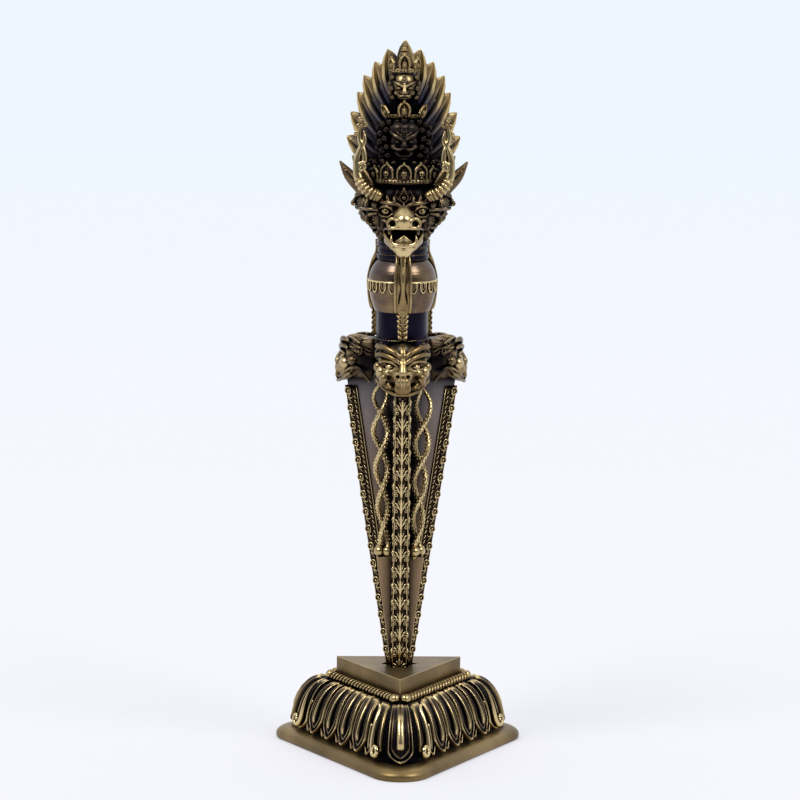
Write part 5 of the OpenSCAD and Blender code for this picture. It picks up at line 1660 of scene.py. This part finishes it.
def hornForm():
    clay = Clay(horn["low"], horn["high"], horn["grain"], mirrored=False)
    points = [p[:3] for p in horn["path"]]
    clay.strand(points, [p[3] * 0.9 for p in horn["path"]], 0.3, steps=8)
    line, size = smoothLine(points, [p[3] for p in horn["path"]], 8)
    ahead = np.gradient(line, axis=0)
    for k in range(horn["rings"]):
        i = 2 + int(k * 3.9)
        clay.hoop(line[i], ahead[i], size[i] * 0.74, 0.62, 0.1)
        clay.hoop(line[i + 2], ahead[i + 2], size[i + 2] * 0.98, 0.34, 0.08, cut=True)
    clay.hoop((14.3, -11.2, 26.4), (0.2, -1, 0.1), 1.35, 0.5, 0.15, sweep=(60, 380), grow=-0.35)
    clay.strand(
        [(15.9, -10.0, 25), (16.2, -9.8, 28), (15.2, -9.4, 31.5), (13.6, -9.0, 35), (13.9, -8.6, 38)],
        [1.5, 1.25, 1.1, 0.9, 0.5], 0.3,
    )
    clay.strand([
        (14.6, -10.9, 25.2), (13.6, -10.4, 28.6), (14.0, -9.6, 32), (15.3, -8.8, 35.4),
        (15.2, -8.2, 38.8), (14.4, -7.9, 41),
    ], [0.9, 1.0, 1.0, 0.85, 0.7, 0.35], 0.15)
    clay.strand(
        [(14.9, -10.6, 27.4), (14.7, -10.6, 30.4), (14.0, -10.0, 33.4)], [0.2, 0.24, 0.12], 0.1, cut=True,
    )
    for x, z, r, turn in (
        (15.6, 39.6, 1.1, 0), (13.4, 40.6, 0.95, 150), (15.0, 42.0, 0.8, 60), (16.4, 37.2, 0.8, 20),
    ):
        clay.hoop((x, -8.2, z), (0.1, -1, 0), r, 0.34, 0.15, sweep=(turn, turn + 300), grow=-0.5 * r)
        clay.ball((x, -8.2, z), (0.4, 0.5, 0.4), 0.1)
    return clay.skin(levels["head"])


ears = {"low": (8.5, -9, 13.5), "high": (23.5, -1, 31), "grain": 0.2}


def buildEars():  # leaf-shaped ears that stand out behind the horns
    clay = Clay(ears["low"], ears["high"], ears["grain"], mirrored=False)
    bullEars(clay)
    form = clay.skin(levels["head"])
    makePiece(
        "bullEars", joined([form, flipped(form)]), "dagger", "castBronze", (),
        (6, 1.6), closed=True,
    )


buildEars()


def buildHorns():
    form = hornForm()
    for name, hand in (("Right", 1), ("Left", -1)):
        spots = [((hand * 15, -10.5, levels["head"] + h), 4.5, 0.13) for h in (18, 24, 30, 36)]
        makePiece(
            "horn" + name, form if hand > 0 else flipped(form), "dagger",
            "castBrass", ["horn_" + name.lower()], (6, 1.1), spots, 0.05, closed=True,
        )


buildHorns()
print("bull's head, jaw and horns stand")


# Small faces in a row round the core, each in its own slice and looking outwards
smallFaces = {
    "turns": (54.3, 91.3, 128.3), "lows": (-0.6, 5.2, 5.2), "half": 18.1, "grain": 0.225,
    "neckShare": 0.64,  # how far the lowest points are drawn in
}


def smallFaceHead(clay, low):
    clay.ball((0, -12.4, low + 8.2), (4.3, 3.9, 4.6))
    clay.ball((0, -12.6, low + 3.6), (3.0, 3.4, 3.2), 0.8)
    clay.ball((2.9, -14.0, low + 5.6), (1.3, 1.6, 1.3), 0.5)
    clay.strand(
        [(0.5, -15.9, low + 9.4), (2.0, -16.2, low + 10.3), (3.8, -14.4, low + 10.8)],
        [0.55, 0.6, 0.4], 0.2,
    )
    clay.ball((1.75, -15.6, low + 8.5), (1.15, 0.9, 0.8), 0.2, cut=True)
    clay.ball((1.75, -15.2, low + 8.5), (0.85, 0.75, 0.62), 0.05)
    clay.strand([(0, -16.2, low + 9.6), (0, -17.3, low + 7.4)], [0.5, 0.95], 0.4)
    clay.ball((0.85, -16.6, low + 6.9), (0.6, 0.7, 0.5), 0.25)
    clay.strand(
        [(0.4, -16.4, low + 5.9), (1.7, -16.0, low + 5.6), (2.6, -14.9, low + 6.4)],
        [0.4, 0.42, 0.25], 0.15,
    )
    clay.ball((0, -16.2, low + 4.6), (1.6, 1.3, 0.75), 0.2, cut=True)
    clay.strand(
        [(0, -16.2, low + 3.6), (1.4, -15.9, low + 3.9), (2.2, -15.0, low + 4.7)],
        [0.42, 0.42, 0.3], 0.15,
    )
    clay.ball((0, -15.2, low + 2.0), (1.5, 1.4, 1.2), 0.5)


def smallFaceDress(clay, low):
    clay.strand(
        [(0, -16.2, low + 12.2), (2.2, -15.6, low + 12.2), (4.2, -13.6, low + 12.0)], [0.6] * 3, 0.2,
    )
    for x, y, tall, lean in ((0, -15.4, 4.4, 0), (2.9, -14.4, 3.8, 0.8)):
        clay.strand(
            [(x, y, low + 12.4), (x + lean * 0.4, y, low + 14.2), (x + lean, y + 0.6, low + 12.4 + tall)],
            [0.95, 0.85, 0.2], 0.2,
        )
        clay.hoop((x + lean * 0.3, y - 0.9, low + 13.8), (0.1, -1, 0), 0.5, 0.22, 0.08)
    clay.strand(
        [(4.2, -12.8, low + 10.4), (4.5, -12.6, low + 7.6), (4.2, -12.2, low + 4.2)],
        [0.7, 0.8, 0.5], 0.3,
    )
    for k in range(4):
        clay.hoop(
            (4.2, -13.4, low + 10.6 - 2.2 * k), (0.6, -1, 0), 0.62, 0.26, 0.1, sweep=(0, 320), grow=-0.35,
        )


def buildSmallFaces():
    for number, (turn, low) in enumerate(zip(smallFaces["turns"], smallFaces["lows"]), 1):
        clay = Clay((-6.5, -18.6, low), (6.5, -7.5, low + 18), smallFaces["grain"])
        smallFaceHead(clay, low)
        smallFaceDress(clay, low)
        clay.trim(wedge(smallFaces["half"], 0.06))
        clay.trim(lambda x, y, z: low + 0.05 - z)
        clay.trim(offCore)
        if number == 1:  # makes room for the horn's root
            for a, b in zip(horn["path"][:4], horn["path"][1:5]):
                ends = [turnedSpot(p[:3], -turn) for p in (a, b)]
                clay.strand(ends, [a[3] + 0.5, b[3] + 0.5], 0, cut=True)
        points, faces = clay.skin(0)
        # the cluster draws in towards the neck
        draw = mix(smallFaces["neckShare"], 1, np.clip((points[:, 2] - 1) / 10, 0, 1) ** 0.8)
        points[:, :2] *= draw[:, None]
        form = moved((points, faces), (0, 0, levels["head"]))
        for name, hand in (("Right", 1), ("Left", -1)):
            node = "side_face_%s_%d" % (name.lower(), number)
            makePiece(
                "sideFace%s%d" % (name, number), turned(form, hand * turn), "dagger",
                "castDark", [node], (5, 1.8), lift=0.02, closed=True,
            )


buildSmallFaces()


# Crowns: ogive leaves with a pearled rim round a small skull or a jewel
def crownLeaf(wide, tall, skull):
    clay = Clay((-wide, -3, -0.6), (wide, 1, tall + 1.4), 0.14)
    clay.ball((0, -0.1, tall * 0.4), (wide * 0.44, 0.5, tall * 0.46))
    arch = [
        (wide * 0.4, -0.3, 0.3), (wide * 0.48, -0.45, tall * 0.34), (wide * 0.45, -0.5, tall * 0.66),
        (wide * 0.27, -0.5, tall * 0.88), (0, -0.45, tall + 0.1),
    ]
    clay.strand(arch, [0.38, 0.48, 0.52, 0.48, 0.36], 0.12)
    line, _ = smoothLine(arch, [1] * len(arch), 3)
    for place in line[::2]:
        clay.ball(tuple(place + (0, -0.35, 0)), 0.3, 0.08)
    clay.ball((0, -0.5, tall + 0.5), (0.4, 0.4, 0.5), 0.1)
    if skull:
        clay.ball((0, -1.0, tall * 0.5), (1.15, 0.95, 1.1), 0.2)
        clay.ball((0.45, -1.85, tall * 0.48), (0.32, 0.4, 0.34), 0.05, cut=True)
        clay.ball((0, -1.85, tall * 0.39), (0.16, 0.3, 0.2), 0.05, cut=True)
        clay.ball((0, -0.9, tall * 0.3), (0.7, 0.75, 0.55), 0.15)
        clay.strand([(0, -1.6, tall * 0.33), (0.6, -1.4, tall * 0.34)], [0.1, 0.1], 0.05, cut=True)
    else:
        clay.hoop((0, -0.7, tall * 0.42), (0, -1, 0.1), wide * 0.2, 0.26, 0.1)
        clay.ball((0, -0.8, tall * 0.42), (wide * 0.13, 0.55, wide * 0.16), 0.1)
        clay.strand([(0, -0.6, tall * 0.62), (0, -0.5, tall * 0.82)], [0.34, 0.16], 0.12)
    return clay.skin(0)


crownSweep = (186, 354)  # the bands run round the front half
crowns = {  # leaves are turn, width and height
    "skull": {
        "node": "skull_crown", "z": 20.2, "radius": 11.3, "slot": "petal_bronze", "finish": "castBronze",
        "leaves": ((-62, 4.7, 4.8), (-31, 4.8, 6.3), (0, 4.8, 6.3), (31, 4.8, 6.3), (62, 4.7, 4.8)),
        "low": 0.4, "out": 10.8, "skull": True, "tilt": 0, "leafLift": 0.06,
        "band": (0.35, 1.7), "thick": 0.36, "beads": 28, "bandLift": -0.34,
    },
    "wrath": {
        "node": "wrath_crown", "z": 42.4, "radius": 6.3, "slot": "petal_bronze", "finish": "castBrass",
        "leaves": ((-58, 2.7, 4.7), (0, 3.8, 4.8), (58, 2.7, 4.7)),
        "low": 0.7, "out": 6.1, "skull": False, "tilt": 48, "leafLift": 0.04,
        "band": (0.4, 1.1), "thick": 0.34, "beads": 16, "bandLift": -0.3,
    },
    "top": {
        "node": "top_crown", "z": 58.1, "radius": 4.9, "slot": "bright_brass", "finish": "castBrass",
        "leaves": ((-60, 3.3, 3.9), (0, 3.4, 5.2), (60, 3.3, 3.9)),
        "low": 0.6, "out": 4.6, "skull": False, "tilt": 0, "leafLift": 0.06,
        "band": (0.3, 1.05), "thick": 0.32, "beads": 14, "bandLift": -0.05,
    },
}


def buildCrowns():
    for name, look in crowns.items():
        forms = []
        for turn, wide, tall in look["leaves"]:
            leaf = crownLeaf(wide, tall, look["skull"])
            if turn:
                leaf = leaned(leaf, math.copysign(look["tilt"], turn))
            forms.append(turned(moved(leaf, (0, -look["out"], look["low"])), turn))
        leafy = sum(len(points) for points, _ in forms)
        low, high = look["band"]
        middle = mix(low, high, 0.5)
        for out, z, thick in (
            (0, low, look["thick"]), (0, high, look["thick"]), (-0.25, middle, (high - low) * 0.55),
        ):
            forms.append(levelBand(look["radius"] + out, z, thick, *crownSweep))
        pearl = bead(look["thick"] * 1.15, 8, 6)
        step = (crownSweep[1] - crownSweep[0]) / (look["beads"] - 1)
        forms.append(ringOf(pearl, look["beads"], look["radius"] + 0.3, middle, crownSweep[0], step))
        form = moved(joined(forms), (0, 0, levels["head"] + look["z"]))
        lift = np.full(len(form[0]), look["bandLift"])
        lift[:leafy] = look["leafLift"]
        makePiece(
            name + "Crown", form, "dagger", look["finish"], [look["node"]], (5, 1.7),
            lift=lift,
        )


buildCrowns()


def wrathFace(clay):
    clay.ball((0, -4.2, 35.0), (5.1, 4.7, 6.6))
    clay.ball((1.4, -5.2, 38.6), (3.8, 3.6, 3.1), 1.0)
    clay.ball((0, -5.2, 30.6), (3.6, 3.6, 2.6), 0.8)
    clay.ball((2.0, -8.9, 34.7), (1.5, 1.1, 0.95), 0.3, cut=True)
    clay.ball((2.0, -8.5, 34.7), (1.05, 0.9, 0.72), 0.05)
    clay.strand(
        [(0.4, -9.5, 35.0), (1.6, -9.4, 36.0), (3.4, -8.5, 37.0), (4.9, -6.8, 38.3)],
        [0.5, 0.62, 0.6, 0.3], 0.15,
    )
    clay.strand([(0.5, -9.2, 36.3), (1.8, -8.9, 37.4), (3.6, -7.9, 38.6)], [0.25, 0.3, 0.2], 0.12)
    clay.strand([(0, -8.8, 36.2), (0, -9.8, 33.6)], [0.5, 0.95], 0.3)
    clay.ball((0.85, -9.3, 33.2), (0.6, 0.7, 0.5), 0.2)
    clay.ball((3.2, -7.2, 32.8), (1.5, 1.5, 1.2), 0.5)
    clay.strand(
        [(0.3, -9.9, 32.5), (1.7, -9.7, 32.0), (3.3, -8.8, 32.4), (4.4, -7.4, 33.5)],
        [0.42, 0.5, 0.45, 0.2], 0.15,
    )
    clay.ball((0, -8.4, 30.9), (2.3, 1.5, 0.85), 0.2, cut=True)
    clay.strand([(0, -8.3, 29.7), (1.8, -8.1, 29.9), (3.0, -7.2, 30.9)], [0.42, 0.42, 0.3], 0.15)
    clay.strand([(1.5, -8.9, 31.6), (1.5, -8.9, 30.5)], [0.3, 0.08], 0.05)
    clay.hoop((0, -9.0, 38.0), (0, -1, 0.25), 0.95, 0.24, 0.08)
    clay.ball((0, -9.1, 38.0), (0.6, 0.5, 0.5), 0.05)
    clay.ball((0, -6.6, 28.8), (1.9, 1.9, 1.0), 0.4)


def curlyHair(clay, spots):
    for x, y, z, size, turn in spots:
        clay.ball((x, y + 0.5, z), (size * 0.95, 1.3, size * 0.95), 0.3)
        clay.hoop(
            (x, y - 0.7, z), (0.25, -1, 0), size * 0.68, 0.28, 0.1, sweep=(turn, turn + 400),
            grow=-size * 0.5,
        )


wrath = {"low": (-10, -11, 27), "high": (10, 1, 42.6), "grain": 0.18}


def buildWrathHead():
    clay = Clay(wrath["low"], wrath["high"], wrath["grain"])
    wrathFace(clay)
    clay.strand(
        [(5.0, -3.4, 28.4), (6.6, -2.6, 32.5), (6.8, -2.4, 36.5), (5.0, -3.0, 40.8)],
        [1.4, 1.7, 1.6, 1.4], 0.6,
    )
    curlyHair(clay, [
        (5.5, -5.4, 29.6, 1.2, 0), (7.3, -4.6, 31.4, 1.3, 90), (5.9, -6.0, 32.8, 1.1, 200),
        (8.2, -3.8, 34.2, 1.3, 40), (6.5, -5.6, 35.6, 1.2, 130), (8.1, -3.6, 37.2, 1.2, 250),
        (6.0, -5.4, 38.4, 1.2, 20), (7.2, -3.8, 40.2, 1.2, 160), (5.0, -5.4, 41.0, 1.1, 60),
        (2.4, -6.2, 41.4, 1.0, 200), (0.3, -6.6, 41.5, 0.9, 90), (5.6, -2.2, 42.0, 1.1, 10),
        (8.9, -2.4, 32.2, 1.1, 300), (9.2, -2.2, 35.8, 1.1, 80), (8.8, -2.0, 39.0, 1.1, 220),
        (7.6, -3.0, 29.0, 1.1, 140),
    ])
    spots = [((hand * 3.2, -8.8, 32.2), 1.6, 0.12) for hand in (-1, 1)]
    spots += [((hand * 2.6, -9, 36.6), 2.0, 0.16) for hand in (-1, 1)]
    castOnCore("wrathHead", clay, "castDark", ["wrath_head"], (6, 1.7), spots, -0.14)


buildWrathHead()


topFace = {"low": (-7, -8.6, 48.4), "high": (7, 0.5, 58), "grain": 0.15, "keep": (48.65, 57.95)}


def buildTopHead():
    clay = Clay(topFace["low"], topFace["high"], topFace["grain"])
    clay.ball((0, -2.9, 54.0), (4.3, 4.0, 4.4))
    clay.ball((0, -3.6, 50.6), (2.9, 3.2, 2.4), 0.8)
    clay.ball((1.75, -6.5, 53.0), (1.25, 0.8, 0.75), 0.25, cut=True)
    clay.ball((1.75, -6.3, 52.95), (0.95, 0.7, 0.5), 0.05)
    clay.strand(
        [(0.3, -7.0, 53.2), (1.5, -6.9, 54.0), (3.0, -6.0, 54.7), (3.9, -4.8, 55.2)],
        [0.34, 0.42, 0.36, 0.18], 0.12,
    )
    clay.strand([(0, -6.7, 54.2), (0, -7.5, 51.6)], [0.4, 0.75], 0.25)
    clay.ball((0.65, -7.1, 51.3), (0.45, 0.5, 0.38), 0.15)
    clay.strand([(0.2, -7.2, 50.5), (1.3, -6.9, 50.2), (2.4, -6.0, 50.8)], [0.32, 0.34, 0.15], 0.12)
    clay.strand([(0, -6.6, 49.4), (1.1, -6.3, 49.5)], [0.34, 0.25], 0.12)
    clay.ball((2.6, -5.4, 51.2), (1.0, 1.0, 0.9), 0.4)
    clay.hoop((0, -6.5, 56.0), (0, -1, 0.3), 0.75, 0.2, 0.06)
    clay.ball((0, -6.6, 56.0), 0.42, 0.05)
    clay.strand([(4.0, -3.4, 56.4), (4.5, -3.0, 53), (4.2, -3.0, 49.6)], [0.9, 1.1, 0.8], 0.4)
    curlyHair(clay, [
        (4.3, -4.2, 56.3, 0.85, 0), (4.9, -3.4, 54.4, 0.9, 120), (4.4, -4.2, 52.8, 0.85, 240),
        (4.9, -3.2, 51.0, 0.9, 60), (4.0, -3.8, 49.7, 0.8, 180),
    ])
    # keeps between the crown under it and its own
    bottom, top = topFace["keep"]
    clay.trim(lambda x, y, z: np.maximum(bottom - z, z - top))
    spots = [((0, -7, 52), 2.2, 0.15), ((0, -6, 55.6), 2.4, 0.1)]
    castOnCore("topHead", clay, "castBronze", ["top_head"], (6, 1.1), spots, 0.02)


buildTopHead()


topknot = {"low": (-4, -5, 59.0), "high": (4, 3, 68.2), "grain": 0.13, "foot": 59.65, "back": 0.95}


def buildTopknot():
    clay = Clay(topknot["low"], topknot["high"], topknot["grain"])
    clay.strand(
        [(0, -1.4, 60.6), (0, -1.3, 62.6), (0, -1.1, 64.6), (0, -0.9, 66.6)], [1.9, 1.7, 1.3, 0.7], 0.3,
    )
    for z, r in ((61.0, 1.9), (62.6, 1.7), (64.2, 1.35), (65.6, 1.0)):
        clay.hoop((0, -1.3, z), (0, -0.1, 1), r, 0.32, 0.12)
    for x, z, r, turn in ((1.5, 61.6, 0.8, 30), (1.3, 63.4, 0.7, 160), (0.9, 65.2, 0.55, 280)):
        clay.hoop(
            (x, -2.8 + 0.3 * (z - 61), z), (0.2, -1, 0), r * 0.7, 0.24, 0.1, sweep=(turn, turn + 380),
            grow=-r * 0.45,
        )
    clay.ball((0, -3.1, 62.9), (0.75, 0.6, 0.95), 0.15)
    clay.ball((0, -1.0, 67.0), (0.5, 0.5, 0.7), 0.1)
    # stands on the end of the core, in front of the feathers
    clay.trim(lambda x, y, z: np.maximum(topknot["foot"] - z, y - topknot["back"]))
    castOnCore("topknotHair", clay, "castBrass", ["topknot"], (5, 1.6), lift=-0.02)


buildTopknot()
print("faces and crowns are on")

# Feathers: a flame-shaped halo of broad curved feathers, overlapping from the middle outwards
halo = {
    "tips": ((0, 69), (5.2, 65.9), (9.7, 61.6), (13.5, 56.9), (15.7, 51.1), (18, 44.3), (19.4, 35.9)),
    "roots": ((0, 50), (1.6, 48), (2.8, 44), (3.6, 39), (4.2, 34), (4.8, 29), (5.4, 25.4)),
    "halfWide": 3.7, "front": 1.9, "step": 0.28, "thick": 1.25, "cut": 25.9,
    "rubbed": ((0.98, 0.48), (0.84, 0.42), (0.68, 0.26)),  # share of the length and extra wear
}


def featherForm():  # one feather, 1 long and 1 to each side, with its outer edge at +X
    rows, cols = 52, 57
    t = np.linspace(0, 1, rows)[:, None]
    u = np.linspace(-1, 1, cols)[None, :]
    half = np.interp(t, [0, 0.2, 0.5, 0.72, 0.86, 0.95, 1], [0.6, 0.85, 1, 0.88, 0.6, 0.28, 0.03])
    bow = 0.32 * np.sin(math.pi * np.minimum(t * 1.02, 1)) + 0.4 * t ** 5 - 0.25 * t
    x = u * half + bow
    fine = 0.19 * np.cos(2 * math.pi * 6.5 * (u + 0.25)) * np.clip(1.2 - np.abs(u + 0.2) * 1.2, 0, 1)
    fine = fine * np.clip((0.97 - t) * 8, 0, 1)
    rim = 0.75 * np.exp(-((u - 0.72) / 0.2) ** 2) * (0.55 + 0.45 * t)
    tip = 0.5 * np.exp(-((1 - t) / 0.1) ** 2)
    groove = -0.6 * np.exp(-((u - 0.3) / 0.13) ** 2) * np.clip((0.93 - t) * 6, 0, 1)
    slope = -0.11 * (1 - u)
    edge = 1 - np.abs(u) ** 16
    height = (rim + fine + groove + slope + tip * 0.4 + 0.1) * edge
    z = np.broadcast_to(t, x.shape)
    front = np.stack([x, -(height * 0.85 + 0.3), z], axis=-1)
    backRim = 0.45 * np.exp(-(u / 0.12) ** 2) + 0.12 * np.cos(2 * math.pi * 4 * u)
    back = np.stack([x, halo["thick"] + backRim * edge * np.clip((1 - t) * 5, 0, 1), z], axis=-1)
    return slab(front, back)


def buildFeathers():
    rows, marks = [], []
    for number, (tip, root) in enumerate(zip(halo["tips"], halo["roots"])):
        for hand in ((1,) if number == 0 else (-1, 1)):
            way = np.array((hand * (tip[0] - root[0]), tip[1] - root[1]))
            lay = halo["front"] + halo["step"] * (number or -0.6)
            place = (hand * root[0], lay, levels["head"] + root[1])
            turn = (0, math.atan2(way[0], way[1]), 0)
            wide = halo["halfWide"] * (0.9 if number == 0 else 1)
            rows.append((place, turn, (hand * wide, 1, np.linalg.norm(way))))
            for share, amount in halo["rubbed"]:
                x = hand * (mix(root[0], tip[0], share) + 2.2)
                z = levels["head"] + mix(root[1], tip[1], share) - 0.6
                marks.append(((x, 1.4, z), 3.4, amount))
    places, turns, sizes = zip(*rows)
    spots = element((np.array(places), []), {"turn": turns, "size": sizes})
    fan = runTree("fan", {"Spots": spots, "Feather": element(featherForm())}, "featherBronze")
    points, faces = fan
    points[:, 2] = np.maximum(points[:, 2], levels["head"] + halo["cut"] + 0.15)
    makePiece(
        "featherHalo", (points, faces), "dagger", "featherBronze",
        ["feather_halo"], (5, 1.1), marks, -0.14,
    )


buildFeathers()


mantle = {  # a lock is radius, height and thickness
    "low": (-14, -14, 1), "high": (14, 14, 30), "grain": 0.26, "top": 27,
    "lock": ((8.8, 3, 1.7), (10.6, 11, 2.0), (10.9, 21, 1.9), (9.2, 26.4, 1.3)),
    "pitch": 13.5, "gap": 18.8,  # degrees between the locks, and from the last small face's middle
}


def buildMantle():  # hair combed up the back of the core, in locks that curl at their ends
    clay = Clay(mantle["low"], mantle["high"], mantle["grain"], mirrored=False)
    locks = mantle["lock"]
    for i in range(-2, 3):
        azimuth = sides["back"] + i * mantle["pitch"]
        line = [(*polar(r, azimuth), z) for r, z, _ in locks]
        clay.strand(line, [r for _, _, r in locks], 0.4)
        for part in (-1, 0, 1):
            wave = [
                (*polar(r + w * 0.86, azimuth + part * 4.6 + 1.4 * math.sin(z * 0.5)), z)
                for r, z, w in locks
            ]
            clay.strand(wave, [0.32, 0.4, 0.4, 0.2], 0.12)
        tip, way = polar(10.9, azimuth), polar(1, azimuth)
        clay.hoop((*tip, 24.6), (*way, 0), 0.85, 0.36, 0.12, sweep=(0, 400), grow=-0.55)
    limit = math.tan(math.radians(180 - smallFaces["turns"][2] - mantle["gap"]))
    clay.trim(lambda x, y, z: np.abs(x) - y * limit)
    clay.trim(lambda x, y, z: z - mantle["top"])
    castOnCore("hairMantle", clay, "castDark", ["hair_mantle"], (5, 1.4))


buildMantle()


sideCurls = {"low": (-15, -8, 17), "high": (15, 3.5, 29.5), "grain": 0.2, "reach": 12.4, "foot": 20}


def buildSideCurls():  # dark hair that fills the corner between crown, horns and feathers
    clay = Clay(sideCurls["low"], sideCurls["high"], sideCurls["grain"])
    clay.strand([(7.5, -3.5, 19.5), (10.6, -1.5, 22.5), (11.0, 0.6, 26.5)], [2.2, 2.6, 1.8], 0.8)
    clay.strand([(5.2, -3.2, 24.5), (6.8, -2.4, 27.4)], [2.0, 1.5], 0.8)
    clay.ball((8.4, -1.0, 26.0), (2.3, 1.3, 2.0), 0.5)
    clay.ball((12.6, -0.6, 25.8), (2.0, 1.1, 2.0), 0.5)
    curlyHair(clay, [
        (7.2, -6.2, 23.6, 1.2, 20), (9.4, -5.2, 22.4, 1.3, 140), (11.6, -4.0, 21.0, 1.2, 250),
        (8.6, -4.8, 25.2, 1.2, 70), (10.9, -4.0, 24.2, 1.3, 190), (12.6, -2.6, 22.8, 1.1, 320),
        (9.8, -3.2, 27.0, 1.2, 110), (12.0, -2.2, 26.0, 1.1, 230), (7.4, -4.2, 27.4, 1.1, 300),
        (5.4, -5.0, 26.2, 1.1, 50), (3.4, -6.0, 27.2, 1.0, 170),
    ])
    reach, foot = sideCurls["reach"], sideCurls["foot"]
    # nothing is left under the skull crown's level
    clay.trim(lambda x, y, z: np.where(z < foot, np.maximum(reach - np.hypot(x, y), 0) + 0.01, -3.0))
    castOnCore("sideCurls", clay, "castDark", (), (5, 1.7), lift=-0.08)


buildSideCurls()
print("feathers spread behind the heads")

# Turned, cut and rolled pieces come from the frame as they are and only get their finish
carriedOver = {
    "platform": "footBronze", "base_cover": "darkBronze", "tip_socket": "darkBronze",
    "platform_screws": "screwSteel", "cover_screws": "screwSteel", "tie_rod": "screwSteel",
    "lotus_dome": "coreBronze", "blade": "webBronze", "makara_collar": "darkBronze",
    "shaft": "darkBronze", "vase": "vaseBronze", "neck_rings": "darkBronze", "head_core": "coreBronze",
}
for node, finish in carriedOver.items():
    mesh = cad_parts[node].data
    mesh.materials.clear()
    mesh.materials.append(finishes[finish])
print("frame pieces dressed")
